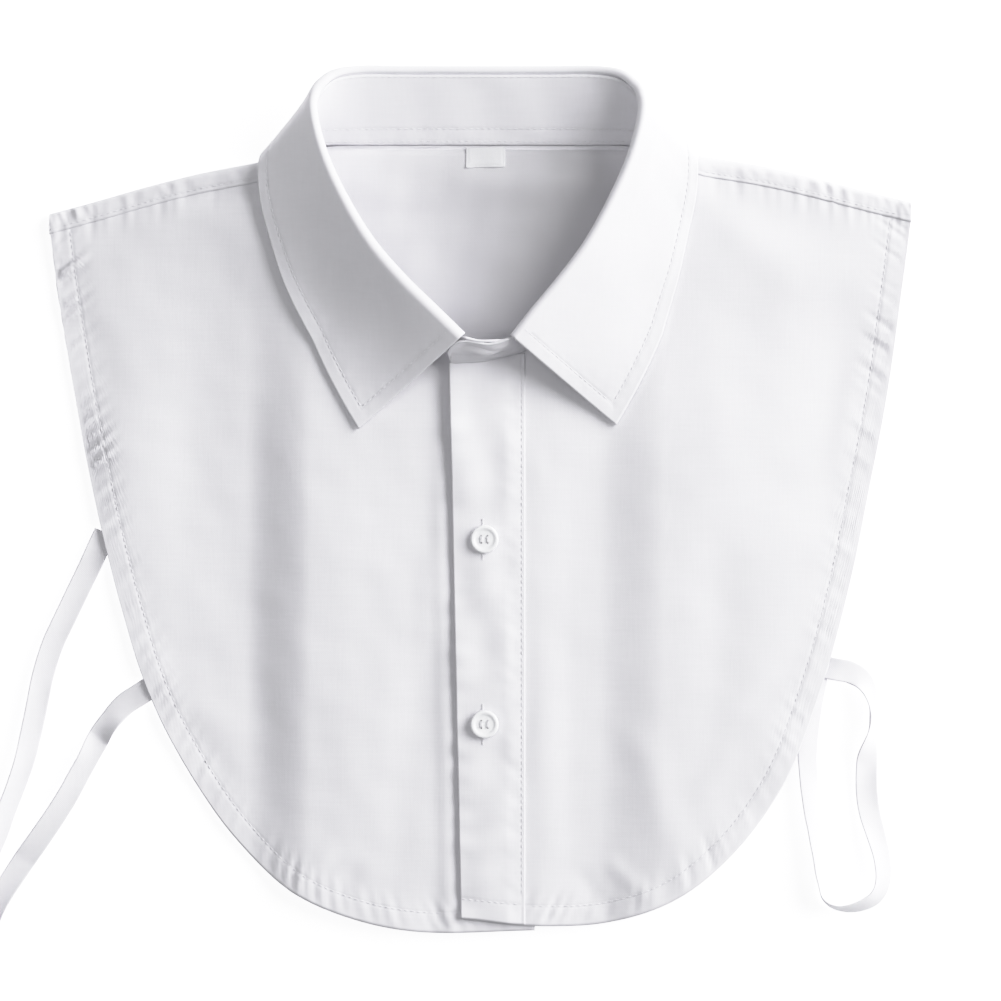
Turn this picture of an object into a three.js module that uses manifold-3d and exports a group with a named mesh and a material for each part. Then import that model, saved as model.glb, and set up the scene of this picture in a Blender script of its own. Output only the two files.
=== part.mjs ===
// A detachable shirt collar: a shirt front and back cut off at the chest, with a full stand-and-leaf collar,
// a buttoned placket and a tape loop at each side. It lies flat on a table, underside on z = 0.
// Millimetres. +X is the wearer's left as it lies, +Y points to the back of the neck, +Z is up off the table.

import * as THREE from "three";
import Module from "manifold-3d";
import { mergeVertices } from "three/addons/utils/BufferGeometryUtils.js";

const manifold = await Module();
manifold.setup();

// ---- Driving sizes -------------------------------------------------------------------------------------
const CLOTH = 1.0; // wall of a single panel with its turnings
const COLLAR_CLOTH = 1.2; // wall of the interlined stand and leaf
const GAP = 0.3; // air between two pieces at a seam or lying on each other
const HALF_WIDTH = 180.6; // neck line to shoulder tip
const PLACKET_EDGE_X = -13; // free edge of the overlapping front at the neck
const PLACKET_DRIFT = 5; // the free edge wanders this far towards the lap by the hem
const PLACKET_INNER_X = 18.9; // stitched inner edge of the placket band
const UNDER_FRONT_X = 23; // how far the lower front reaches under the placket
const SEAM_FORWARD = 7; // the shoulder seam lies this far in front of the folded ridge
const NECK_LEAN = 3.9; // the front of the neck lies this far off the centre of its back
const NECK_LEAN_START = -0.9;
const SHOULDER_TILT = 0.014; // one shoulder lies a little higher than the other

const TAPE = { width: 9.4, thick: 1.1 };
const BUTTON = { x: 1.9, radius: 5.9, thick: 2.4, rim: 1.3, dish: 0.8, hole: 0.9, holeSpread: 1.5, sides: 28 };
const BUTTON_ROWS = [
  { name: "button_upper", y: -16.6 },
  { name: "button_lower", y: -93.9 },
];
const LABEL = { x: 2.3, width: 16.4, top: 147.6, length: 8.4, thick: 0.8 };

// Hem and armhole edge, from the shoulder tip round to the centre, one row for each point of its curve.
const EDGE_ROWS = [
  { left: [-180.6, 115.5], right: [180.6, 117.5] },
  { left: [-177.2, 88], right: [176.8, 88] },
  { left: [-170, 44], right: [171, 46] },
  { left: [-162, 2], right: [162.2, 0] },
  { left: [-151.2, -42.2], right: [153.2, -42] },
  { left: [-139, -81], right: [142.3, -80] },
  { left: [-123, -112.8], right: [127, -119] },
  { left: [-103, -141.6], right: [107, -147] },
  { left: [-80, -163.6], right: [83, -166.8] },
  { left: [-54.2, -175.4], right: [55, -176.8] },
  { left: [-26, -181], right: [28, -178.6] },
  { left: [24, -180.4], right: [-14, -175.4] },
];

// Folded shoulder ridge, from the neck out to the tip.
const RIDGE_ROWS = [
  { x: 60, y: 148.8 },
  { x: 72, y: 148 },
  { x: 84, y: 144.6 },
  { x: 92, y: 142.8 },
  { x: 118, y: 138.2 },
  { x: 140, y: 133 },
  { x: 160, y: 127.6 },
  { x: 181, y: 122.2 },
];

// Half of the neck, from the centre back to the centre front. fold is the top edge of the collar, seam the
// neck seam under it, edge the free edge of the leaf, and drop how fast the leaf falls from the fold.
const NECK_ROWS = [
  { fold: [0, 181.2, 11], seam: [0, 148.5, 3.4], edge: [0, 137, 0], drop: 3.4 },
  { fold: [30, 181.2, 11.5], seam: [30, 148.5, 3.4], edge: [32, 137, 0], drop: 3.4 },
  { fold: [50, 181, 14], seam: [50, 148.4, 3.6], edge: [56, 137.3, 0], drop: 3.4 },
  { fold: [59.5, 179, 18], seam: [62, 148.4, 4], edge: [73, 138.2, 0], drop: 3.2 },
  { fold: [64.2, 175, 22], seam: [70, 147.6, 5.2], edge: [81, 140.2, 0], drop: 2.7 },
  { fold: [66.2, 172, 24], seam: [73, 146, 7.6], edge: [87, 146.6, 0.3], drop: 1.9 },
  { fold: [67, 168.8, 25.4], seam: [75.6, 143.4, 10.2], edge: [90, 146.8, 5], drop: 1.4 },
  { fold: [67.3, 165, 26.6], seam: [78, 139.6, 11.4], edge: [91.7, 142, 11.6], drop: 1.25 },
  { fold: [66.2, 157, 28], seam: [79, 130.5, 11], edge: [91.3, 127, 11.4], drop: 1.15 },
  { fold: [61.8, 142, 29], seam: [76.5, 118, 9.4], edge: [87.2, 108.6, 9.2], drop: 1 },
  { fold: [53.5, 124, 29.5], seam: [69, 104.5, 8], edge: [82.4, 91, 8.3], drop: 1 },
  { fold: [43.5, 107, 29.5], seam: [57.5, 91, 7.4], edge: [75.6, 73.4, 8.2], drop: 1 },
  { fold: [31.5, 92, 29], seam: [42.5, 78.6, 6.8], edge: [68, 56, 7.6], drop: 1 },
  { fold: [19.5, 79, 28.4], seam: [27.5, 68.6, 6.3], edge: [60.8, 42, 7], drop: 1 },
  { fold: [9.9, 68.2, 27.6], seam: [13.6, 62.2, 6.2], edge: [54, 30.2, 6.4], drop: 1 },
];

// Largest folds of the fronts, each a long slope that the cloth climbs (or falls, if negative) between two
// lines down the garment: how high at the neck, at the chest and at the hem.
const SLOPE_ROWS = [
  { name: "left side swell", from: -178, to: -150, neck: 0.6, chest: 1.2, hem: 0.8 },
  { name: "left side dip", from: -148, to: -112, neck: -0.6, chest: -1, hem: -0.6 },
  { name: "left roll", from: -98, to: -71, neck: 2.8, chest: 6.4, hem: 4.4 },
  { name: "dip beside the lap", from: -34, to: -16, neck: -0.4, chest: -1.2, hem: -0.8 },
  { name: "right roll", from: 50, to: 77, neck: 1.4, chest: 3.8, hem: 3.6 },
  { name: "right fall", from: 84, to: 180, neck: -2.2, chest: -7.6, hem: -6 },
];

// Centre lines of the two tapes, picked along the way they lie: x, y and the height of the tape's middle.
const STRAP_ROUTES = {
  strap_left: [
    [-160.6, -21, 1.4], [-164, -28.4, 0.75], [-167.6, -35.9, 0.75], [-173.6, -48.4, 0.75],
    [-179.3, -60.7, 0.75], [-183.6, -74.6, 0.75], [-186.8, -90.5, 0.75], [-190.3, -106.1, 0.75],
    [-194.6, -119.6, 0.75], [-199.6, -133, 0.75], [-205, -148.4, 0.75], [-210.6, -162, 0.75],
    [-215.4, -172.6, 0.75], [-217.6, -179.6, 0.75], [-215.8, -185.6, 0.75], [-210.4, -187.4, 0.75],
    [-206.2, -183.6, 0.75], [-204.4, -176.6, 0.75], [-200.8, -166.8, 0.75], [-192.6, -153.2, 0.75],
    [-184.2, -141.2, 0.75], [-175.4, -128, 0.75], [-166.6, -112.4, 0.75], [-158.4, -97.4, 0.75],
    [-149.6, -86.4, 0.9], [-142.6, -81.6, 1.5],
  ],
  strap_right: [
    [150.2, -71.4, 1.9], [155, -72.4, 1.4], [160, -75.4, 0.9], [163.2, -81.4, 0.9],
    [163.4, -92, 0.9], [162.6, -104, 0.9], [162, -116.4, 0.9], [162.8, -128, 0.9],
    [165.4, -139.4, 0.9], [168.2, -150, 0.9], [168.8, -159.4, 0.9], [165.2, -166.8, 0.9],
    [157.6, -170.4, 0.9], [149.2, -170.6, 0.9], [143.6, -166.6, 0.9], [142.2, -159, 0.9],
    [141.6, -148, 0.9], [140.2, -137, 0.9], [138.6, -125.6, 1], [137.6, -114.6, 1.2],
    [137.4, -103.4, 2.1], [138.4, -92, 2.2], [140.6, -78, 2.2], [143.4, -63, 2.2], [146.6, -48, 2.2],
    [149.4, -36, 2.2],
  ],
};

// ---- Small helpers -------------------------------------------------------------------------------------
const clamp01 = (t) => Math.min(1, Math.max(0, t));
const ease = (t, from, to) => THREE.MathUtils.smoothstep((t - from) / (to - from), 0, 1);
const mix = (a, b, t) => a + (b - a) * t;
const range = (count) => Array.from({ length: count }, (_, i) => i / (count - 1));

/** Height of a smooth curve through rows of [x, y], read at any x between its ends. */
function heightAlong(points) {
  const curve = new THREE.SplineCurve(points.map(([x, y]) => new THREE.Vector2(x, y)));
  const walk = curve.getPoints(240).sort((a, b) => a.x - b.x);
  return (x) => {
    const next = walk.findIndex((p) => p.x >= x);
    if (next <= 0) return next === 0 ? walk[0].y : walk.at(-1).y;
    const [a, b] = [walk[next - 1], walk[next]];
    return mix(a.y, b.y, (x - a.x) / (b.x - a.x || 1));
  };
}

/** Turns a grid of triangles the right way out: a closed body has a positive volume. */
function facingOut(geometry) {
  const p = geometry.getAttribute("position");
  const index = geometry.getIndex();
  const corner = (k) => new THREE.Vector3().fromBufferAttribute(p, index.getX(k));
  let volume = 0;
  for (let k = 0; k < index.count; k += 3) {
    volume += corner(k).dot(corner(k + 1).cross(corner(k + 2)));
  }
  if (volume < 0) {
    for (let k = 0; k < index.count; k += 3) {
      const swap = index.getX(k);
      index.setX(k, index.getX(k + 1));
      index.setX(k + 1, swap);
    }
  }
  return geometry;
}

/** A cloth wall: two matching grids of points, one for each face, closed round their four edges. */
function clothWall(face, back) {
  const rows = face.length;
  const cols = face[0].length;
  const position = [...face.flat(), ...back.flat()].flatMap((p) => [p.x, p.y, p.z]);
  const at = (layer, i, j) => (layer * rows + i) * cols + j;
  const index = [];
  const quad = (a, b, c, d) => index.push(a, b, c, a, c, d);
  for (let i = 0; i < rows - 1; i++) {
    for (let j = 0; j < cols - 1; j++) {
      quad(at(0, i, j), at(0, i + 1, j), at(0, i + 1, j + 1), at(0, i, j + 1));
      quad(at(1, i, j), at(1, i, j + 1), at(1, i + 1, j + 1), at(1, i + 1, j));
    }
    quad(at(0, i, 0), at(1, i, 0), at(1, i + 1, 0), at(0, i + 1, 0));
    quad(at(0, i + 1, cols - 1), at(1, i + 1, cols - 1), at(1, i, cols - 1), at(0, i, cols - 1));
  }
  for (let j = 0; j < cols - 1; j++) {
    quad(at(0, 0, j + 1), at(1, 0, j + 1), at(1, 0, j), at(0, 0, j));
    quad(at(0, rows - 1, j), at(1, rows - 1, j), at(1, rows - 1, j + 1), at(0, rows - 1, j + 1));
  }
  const geometry = new THREE.BufferGeometry();
  geometry.setAttribute("position", new THREE.Float32BufferAttribute(position, 3));
  geometry.setIndex(index);
  return facingOut(geometry);
}

/** The same grid moved straight up, for what lies on a panel or is its other face. */
const raised = (grid, lift) => grid.map((row) => row.map((p) => new THREE.Vector3(p.x, p.y, p.z + lift)));

/** The same grid moved along its own normals, for a wall that stands up or turns over. */
function offset(grid, distance) {
  const point = (i, j) => {
    const row = grid[Math.min(grid.length - 1, Math.max(0, i))];
    return row[Math.min(row.length - 1, Math.max(0, j))];
  };
  return grid.map((row, i) =>
    row.map((p, j) => {
      const along = point(i + 1, j).clone().sub(point(i - 1, j));
      const across = point(i, j + 1).clone().sub(point(i, j - 1));
      return p.clone().addScaledVector(along.cross(across).normalize(), distance);
    }),
  );
}

// ---- How high each layer lies --------------------------------------------------------------------------
const hemLeft = heightAlong(EDGE_ROWS.map((row) => row.left));
const hemRight = heightAlong(EDGE_ROWS.map((row) => row.right));
const ridgeHalf = heightAlong(RIDGE_ROWS.map((row) => [row.x, row.y]));
const ridge = (x) => ridgeHalf(Math.abs(x)) + SHOULDER_TILT * x * ease(Math.abs(x), 70, 92);
const shoulderSeam = (x) => ridge(x) - SEAM_FORWARD;

/** The back panel's underside: on the table, and lifted near the neck by the leaf folded under it. */
const backUnder = (x, y) => 1.7 * ease(y, 118, 134) * (1 - ease(Math.abs(x), 86, 104));

/** How far the shoulder ridge holds the fronts up, most at the neck and least at the tip. */
const shoulderRise = (x) => mix(5.6, 0.9, ease(Math.abs(x), 78, 176));

/** Height that the long slopes add: none at the shoulder, most at the chest. */
function foldHeight(x, y) {
  const low = ease(y, 90, 10);
  const lowest = ease(y, -60, -175);
  return SLOPE_ROWS.reduce((sum, row) => {
    const climb = mix(mix(row.neck, row.chest, low), row.hem, lowest) * ease(y, 150, 84);
    return sum + climb * ease(x, row.from, row.to);
  }, 0);
}

/** Top of a front where it lies straight on the back panel. */
function frontTop(x, y) {
  const beyond = Math.abs(x) - 78;
  const half = 78 + (beyond + Math.hypot(beyond, 10)) / 2; // never nearer the neck than the shoulder seam is
  const fromSeam = Math.max(0, shoulderSeam(Math.min(half, HALF_WIDTH) * Math.sign(x || 1)) - y);
  const held = shoulderRise(x) * Math.exp(-((fromSeam / 34) ** 2)) * ease(Math.abs(x), 20, 70);
  const tape = 1.9 * ease(x, 96, 131) * ease(y, -140, -108) * (1 - ease(y, -26, 10));
  return backUnder(x, y) + CLOTH + GAP + CLOTH + held + foldHeight(x, y) + tape;
}

/** The overlapping front lies on the other one near the centre, and straight on the back beyond it. */
const overTop = (x, y) => frontTop(x, y) + (CLOTH + GAP) * (1 - ease(x, UNDER_FRONT_X, UNDER_FRONT_X + 16));
const topmost = (x, y) => (x < PLACKET_EDGE_X - 3 ? frontTop(x, y) : overTop(x, y));

// ---- The neck, row by row ------------------------------------------------------------------------------
const lean = (y) => NECK_LEAN_START + NECK_LEAN * clamp01((172 - y) / 104) ** 4;
const splineOf = (rows) => new THREE.CatmullRomCurve3(rows.map((p) => new THREE.Vector3(...p)), false, "centripetal");
const foldCurve = splineOf(NECK_ROWS.map((row) => row.fold));
const seamCurve = splineOf(NECK_ROWS.map((row) => row.seam));
const edgeCurve = splineOf(NECK_ROWS.map((row) => row.edge));
const dropCurve = heightAlong(NECK_ROWS.map((row, i) => [i / (NECK_ROWS.length - 1), row.drop]));

/** One station of the collar. t runs from -1, centre front left, through 0, centre back, to 1. */
function neckStation(t) {
  const side = t < 0 ? -1 : 1;
  const s = Math.abs(t);
  const place = (p, tilt) => new THREE.Vector3(side * p.x + lean(p.y), p.y + tilt * side * p.x, p.z);
  const above = (p, lift) => p.setZ(Math.max(p.z, s > 0.55 ? topmost(p.x, p.y) + lift : 0));
  const onward = foldCurve.getTangent(s);
  return {
    fold: place(foldCurve.getPoint(s), 0),
    seam: above(place(seamCurve.getPoint(s), 0), GAP + 0.2),
    edge: above(place(edgeCurve.getPoint(s), SHOULDER_TILT * ease(s, 0.25, 0.5)), GAP + COLLAR_CLOTH + 0.4),
    along: new THREE.Vector3(onward.x, side * onward.y, side * onward.z),
    drop: dropCurve(s),
  };
}

const ROLL = 2.3; // radius of the bent top edge
const STAND_SEAM = 2.4; // the stand meets the leaf this far below the bend, on the neck side

/** The bend over the top of the collar: its middle, the way down between the two legs, and towards the leaf. */
function bendOf(station) {
  const toSeam = station.seam.clone().sub(station.fold).normalize();
  const toEdge = station.edge.clone().sub(station.fold).normalize();
  const down = toSeam.clone().add(toEdge).normalize();
  const out = station.along.clone().cross(down).normalize();
  return { middle: station.fold.clone().addScaledVector(down, ROLL), down, out };
}

/** A point of the bend, from -1 where the neck side begins, over the fold at 0, to 1 at the leaf side. */
function bendPoint(station, u) {
  const { middle, down, out } = bendOf(station);
  const angle = (u * Math.PI) / 2;
  return middle.addScaledVector(out, ROLL * Math.sin(angle)).addScaledVector(down, -ROLL * Math.cos(angle));
}

/** A point of the leaf between its bend, 0, and its free edge, 1. */
function leafPoint(station, v) {
  const start = bendPoint(station, 1);
  const p = start.clone().lerp(station.edge, v);
  p.z = Math.max(0, mix(station.edge.z, start.z, (1 - v) ** station.drop));
  return p;
}

/** A point of the stand between the neck seam, 0, and its top under the leaf's bend, 1. */
function standPoint(station, v, below = STAND_SEAM) {
  const top = bendPoint(station, -1);
  const length = station.seam.distanceTo(top);
  return station.seam.clone().lerp(top, v * (1 - below / length));
}

const STAND_HEIGHTS = 5;
const NECK_STATIONS = range(45).map((t) => neckStation(2 * t - 1));

function collarLeaf() {
  const bends = [-1, -0.5, 0, 0.5];
  const falls = [0, 0.14, 0.34, 0.56, 0.78, 1];
  const face = NECK_STATIONS.map((station) => [
    standPoint(station, 1, STAND_SEAM - GAP),
    ...bends.map((u) => bendPoint(station, u)),
    ...falls.map((v) => leafPoint(station, v)),
  ]);
  return clothWall(face, offset(face, -COLLAR_CLOTH));
}

/** The stand runs past the leaf at both fronts, where its rounded ends button over each other. */
function standEnd(side, inwards) {
  const reach = 23;
  const last = neckStation(side);
  return [0.25, 0.5, 0.75, 0.92, 1].map((share) => {
    const height = Math.sqrt(1 - share ** 2.6) * 0.76 + 0.1;
    const x = -side * reach * share;
    const seam = last.seam.clone().add(new THREE.Vector3(x, -2.4 * share * ease(share, 0, 1) + inwards, 0));
    seam.z = Math.max(seam.z, topmost(seam.x, seam.y) + GAP + 0.3);
    const top = last.fold.clone().add(new THREE.Vector3(x, -1.2 * share + inwards, 0));
    return range(STAND_HEIGHTS).map((v) => seam.clone().lerp(top, v * height));
  });
}

function collarStand() {
  const under = standEnd(-1, 3.2).reverse();
  const over = standEnd(1, 0);
  const ring = NECK_STATIONS.map((station) => range(STAND_HEIGHTS).map((v) => standPoint(station, v)));
  const face = [...under, ...ring, ...over];
  return clothWall(face, offset(face, -COLLAR_CLOTH));
}

// ---- Panels --------------------------------------------------------------------------------------------
const COLUMNS = 25;
const BACK_COLUMNS = 41;
const ROWS = 13;
const columnsBetween = (inner, outer) => range(COLUMNS).map((t) => mix(inner, outer, Math.sin((t * Math.PI) / 2)));

/** The fronts' neck edge, a little inside the neck seam so that the stand stands on it. */
const neckEdge = heightAlong(
  NECK_ROWS.slice(8).map((row) => [row.seam[0], row.seam[1] + 2.5]).reverse(),
);

/** The free edge is not quite straight: it wanders towards the lap on its way down. */
const drifted = (x, y) => x + PLACKET_DRIFT * clamp01((60 - y) / 236) * (1 - ease(x, PLACKET_EDGE_X, 17));

function frontGrid(inner, outer, hem, height, across = (x) => x) {
  return columnsBetween(inner, outer).map((column) => {
    const half = Math.abs(column - lean(60) * (1 - ease(Math.abs(column), 20, 70)));
    const top = half < 79 ? Math.min(neckEdge(Math.max(half, 14)), shoulderSeam(79)) : shoulderSeam(column);
    return range(ROWS).map((v) => {
      const y = mix(hem(column), top - GAP, v);
      const x = across(column, y);
      return new THREE.Vector3(x, y, height(x, y));
    });
  });
}

const frontRightGrid = frontGrid(UNDER_FRONT_X, -HALF_WIDTH, hemLeft, frontTop);
const frontLeftGrid = frontGrid(PLACKET_EDGE_X, HALF_WIDTH, hemRight, overTop, drifted);

function panelFromTop(grid) {
  return clothWall(grid, raised(grid, -CLOTH));
}

/** The placket band lies on the overlapping front, from its free edge to the inner stitching. */
function placket() {
  const columns = range(5).map((t) => mix(PLACKET_EDGE_X, PLACKET_INNER_X, t));
  const grid = columns.map((column) =>
    range(ROWS).map((v) => {
      const y = mix(hemRight(column) + 0.4, neckEdge(14) - 6.5, v);
      const x = drifted(column, y);
      return new THREE.Vector3(x, y, overTop(x, y) + GAP);
    }),
  );
  return clothWall(grid, raised(grid, CLOTH));
}

/** The back lies on the table, turns up over the shoulder ridge and ends at the seam in front of it. */
function backPanel() {
  const hem = (x) => Math.max(hemLeft(Math.min(x, 24)), x > 20 ? hemRight(x) : -Infinity) + 1.2;
  const flatRows = 8;
  const turnRows = 6;
  const grid = range(BACK_COLUMNS).map((t) => {
    const x = HALF_WIDTH * Math.sin((t - 0.5) * Math.PI);
    const half = Math.abs(x);
    const turn = ease(half, 66, 80);
    const forward = SEAM_FORWARD * ease(half, 74, 84);
    const yRidge = ridge(x) + 1.5 * (1 - ease(half, 60, 76));
    const low = backUnder(x, yRidge);
    const high = frontTop(Math.max(half, 79) * Math.sign(x || 1), shoulderSeam(x));
    const bend = Math.min(4, (high - low) / 2);
    const middle = (low + high) / 2;
    const start = hem(x);
    const flat = range(flatRows).map((v) => {
      const y = mix(start, yRidge - bend, v);
      return new THREE.Vector3(x, y, backUnder(x, y));
    });
    const turned = range(turnRows).slice(1).map((v) => {
      const angle = -Math.PI / 2 + Math.PI * v * Math.max(turn, 0.12);
      const y = yRidge - bend + bend * Math.cos(angle);
      return new THREE.Vector3(x, y, middle + ((high - low) / 2) * Math.sin(angle));
    });
    const last = -Math.PI / 2 + Math.PI * Math.max(turn, 0.12);
    const reach = mix(0.8, Math.max(0.8, forward - bend), ease(turn, 0.5, 1));
    const end = turned.at(-1).clone().add(new THREE.Vector3(0, -Math.sin(last) * reach, Math.cos(last) * reach));
    return [...flat, ...turned, end];
  });
  return clothWall(grid, offset(grid, CLOTH));
}

// ---- Trims ---------------------------------------------------------------------------------------------
function label() {
  const columns = range(4).map((t) => LABEL.x + LABEL.width * (t - 0.5));
  const grid = columns.map((x) =>
    range(3).map((v) => {
      const y = LABEL.top - LABEL.length * v;
      return new THREE.Vector3(x, y, backUnder(x, y) + CLOTH + GAP);
    }),
  );
  return clothWall(grid, raised(grid, LABEL.thick));
}

/** A closed geometry as a solid that can be cut. */
function solidOf(geometry) {
  const bare = geometry.clone();
  bare.deleteAttribute("normal");
  bare.deleteAttribute("uv");
  const merged = mergeVertices(bare, 1e-3);
  return new manifold.Manifold(
    new manifold.Mesh({
      numProp: 3,
      vertProperties: new Float32Array(merged.getAttribute("position").array),
      triVerts: new Uint32Array(merged.getIndex().array),
    }),
  );
}

function geometryOf(solid) {
  const mesh = solid.getMesh();
  const geometry = new THREE.BufferGeometry();
  geometry.setAttribute("position", new THREE.BufferAttribute(new Float32Array(mesh.vertProperties), 3));
  geometry.setIndex([...mesh.triVerts]);
  return geometry;
}

/** A four-hole shirt button: a rimmed, dished disc with its underside on z = 0. */
function button() {
  const { radius, thick, rim, dish, hole, holeSpread, sides } = BUTTON;
  const profile = [
    [0, 0], [radius - 0.9, 0], [radius, 0.8], [radius, thick - 0.6], [radius - 0.6, thick],
    [radius - rim, thick], [radius - rim - 0.8, thick - dish], [0, thick - dish],
  ].map(([r, z]) => new THREE.Vector2(r, z));
  let solid = solidOf(new THREE.LatheGeometry(profile, sides).rotateX(Math.PI / 2));
  for (const [sx, sy] of [[-1, -1], [-1, 1], [1, -1], [1, 1]]) {
    const drill = new THREE.CylinderGeometry(hole, hole, 4 * thick, 8).rotateX(Math.PI / 2);
    drill.translate(sx * holeSpread, sy * holeSpread, 0);
    solid = solid.subtract(solidOf(drill));
  }
  return geometryOf(solid);
}

/** A tape along its route: a flat section with its corners taken off. */
function tape(route) {
  const [w, h, c] = [TAPE.width / 2, TAPE.thick / 2, 0.25];
  const section = new THREE.Shape(
    [[h - c, -w], [h, -w + c], [h, w - c], [h - c, w], [c - h, w], [-h, w - c], [-h, c - w], [c - h, -w]].map(
      ([x, y]) => new THREE.Vector2(x, y),
    ),
  );
  const path = new THREE.CatmullRomCurve3(route.map((p) => new THREE.Vector3(...p)), false, "centripetal");
  return new THREE.ExtrudeGeometry(section, { steps: 42, extrudePath: path, bevelEnabled: false });
}

// ---- The whole piece -----------------------------------------------------------------------------------
const WHITE = 0xf1f0f6;
const PEARL = 0xe9e8ee;
const group = new THREE.Group();

function add(name, geometry, colour = WHITE, roughness = 0.85) {
  const material = new THREE.MeshStandardMaterial({ color: colour, roughness, metalness: 0 });
  const mesh = new THREE.Mesh(geometry, material);
  mesh.name = name;
  group.add(mesh);
  return mesh;
}

add("back_panel", backPanel());
add("front_right", panelFromTop(frontRightGrid));
add("front_left", panelFromTop(frontLeftGrid));
add("placket", placket());
add("collar_stand", collarStand());
add("collar_leaf", collarLeaf());
add("label", label());
for (const { name, y } of BUTTON_ROWS) {
  const lift = overTop(BUTTON.x, y) + CLOTH + 2 * GAP;
  add(name, button(), PEARL, 0.35).position.set(BUTTON.x, y, lift);
}
for (const [name, route] of Object.entries(STRAP_ROUTES)) {
  add(name, tape(route));
}

export default group;
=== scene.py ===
# %% [markdown]
# # A detachable shirt collar
#
# The real thing is the top of a white cotton shirt, cut off at the chest: a collar of stand and leaf, two
# fronts that button over each other, a back, and a tape loop at each side that ties round the body. It lies
# flat on a table. Here each piece of cloth is a thin shell bent over the solid that the imported model holds
# for it, so the frame is loaded first.

# %% Load the imported frame
import math

import bmesh
import bpy
import numpy as np
from mathutils import Matrix, Vector


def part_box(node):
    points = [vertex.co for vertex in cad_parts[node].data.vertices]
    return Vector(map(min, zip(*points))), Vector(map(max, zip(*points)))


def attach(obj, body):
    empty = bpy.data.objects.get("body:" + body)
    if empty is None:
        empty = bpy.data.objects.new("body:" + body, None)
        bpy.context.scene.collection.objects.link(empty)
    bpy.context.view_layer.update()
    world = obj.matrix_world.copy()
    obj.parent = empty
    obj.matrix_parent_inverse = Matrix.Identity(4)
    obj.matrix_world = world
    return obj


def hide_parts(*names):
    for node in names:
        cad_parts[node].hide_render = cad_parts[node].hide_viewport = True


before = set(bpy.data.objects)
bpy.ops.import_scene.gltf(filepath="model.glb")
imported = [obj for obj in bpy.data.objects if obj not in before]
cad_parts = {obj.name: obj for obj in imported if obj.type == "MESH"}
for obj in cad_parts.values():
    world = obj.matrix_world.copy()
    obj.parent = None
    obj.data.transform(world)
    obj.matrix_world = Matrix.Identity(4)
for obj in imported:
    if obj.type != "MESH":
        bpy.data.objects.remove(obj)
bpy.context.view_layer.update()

MM = 0.001

# %% [markdown]
# ## Camera
#
# A garment laid on a table is pictured from straight above with a long lens, which keeps its outline true.
# The lens is worked out from how much of the table the picture takes in, because that is easier to judge
# than a focal length. The picture's centre is a little off the neck line. White cotton needs a gentle film
# curve: without one the lit side burns out before the shaded side is bright enough.

# %% Place the camera
PICTURE_WIDTH = 0.4204
CAMERA_HEIGHT = 2.0
PICTURE_CENTRE = (0.0086, -0.0004)

camera_data = bpy.data.cameras.new("camera")
camera_data.sensor_width = 36.0
camera_data.lens = camera_data.sensor_width * CAMERA_HEIGHT / PICTURE_WIDTH
camera = bpy.data.objects.new("camera", camera_data)
camera.location = (*PICTURE_CENTRE, CAMERA_HEIGHT)
bpy.context.scene.collection.objects.link(camera)
bpy.context.scene.camera = camera
look = bpy.context.scene.view_settings
look.view_transform = "Standard"
look.use_curve_mapping = True
film = look.curve_mapping
film.white_level = (1.6, 1.6, 1.6)
combined = film.curves[3]
for amount, brightness in ((0.30, 0.48), (0.47, 0.75), (0.58, 0.855), (0.68, 0.915), (0.82, 0.965)):
    combined.points.new(amount, brightness)
film.update()
print("lens", round(camera_data.lens, 1), "mm")

# %% [markdown]
# ## Curves and eased steps
#
# Garment edges are smooth curves through a few measured points, as a pattern cutter draws them with a
# french curve. A Catmull-Rom curve does the same: it passes through each point and never kinks. Every soft
# fold is a step that starts and ends gently, so one easing helper serves them all.

# %% Curve and easing helpers
def ease(t, start, end):
    """0 before start, 1 after end, with no corner at either. start may be the larger."""
    s = np.clip((np.asarray(t, dtype=float) - start) / (end - start), 0.0, 1.0)
    return s * s * (3 - 2 * s)


def mix(a, b, t):
    return a + (b - a) * t


def through(points, s):
    """Points of a smooth curve through the rows, at s from 0 to 1. It spends as long on each row."""
    rows = np.asarray(points, dtype=float)
    rows = np.vstack([2 * rows[0] - rows[1], rows, 2 * rows[-1] - rows[-2]])
    where = np.clip(np.atleast_1d(np.asarray(s, dtype=float)), 0, 1) * (len(rows) - 3)
    first = np.minimum(where.astype(int), len(rows) - 4)
    t = (where - first)[:, None]
    p0, p1, p2, p3 = (rows[first + k] for k in range(4))
    d0, d1, d2 = (
        np.maximum(np.sqrt(np.linalg.norm(b - a, axis=1, keepdims=True)), 1e-4)
        for a, b in ((p0, p1), (p1, p2), (p2, p3))
    )
    m1 = ((p1 - p0) / d0 - (p2 - p0) / (d0 + d1) + (p2 - p1) / d1) * d1
    m2 = ((p2 - p1) / d1 - (p3 - p1) / (d1 + d2) + (p3 - p2) / d2) * d1
    return (
        (2 * t**3 - 3 * t**2 + 1) * p1 + (t**3 - 2 * t**2 + t) * m1
        + (3 * t**2 - 2 * t**3) * p2 + (t**3 - t**2) * m2
    )


def height_along(points):
    """y of a smooth curve through rows of (x, y), read at any x."""
    walk = through(points, np.linspace(0, 1, 600))
    walk = walk[np.argsort(walk[:, 0])]
    return lambda x: np.interp(x, walk[:, 0], walk[:, 1])


def evenly(points, count):
    """The same route with its points an equal distance apart."""
    points = np.asarray(points, dtype=float)
    step = np.linalg.norm(np.diff(points, axis=0), axis=1)
    travelled = np.concatenate([[0], np.cumsum(step)])
    target = np.linspace(0, travelled[-1], count)
    return np.column_stack([np.interp(target, travelled, points[:, k]) for k in range(points.shape[1])])


def unit(vectors):
    return vectors / np.maximum(np.linalg.norm(vectors, axis=-1, keepdims=True), 1e-12)
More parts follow.
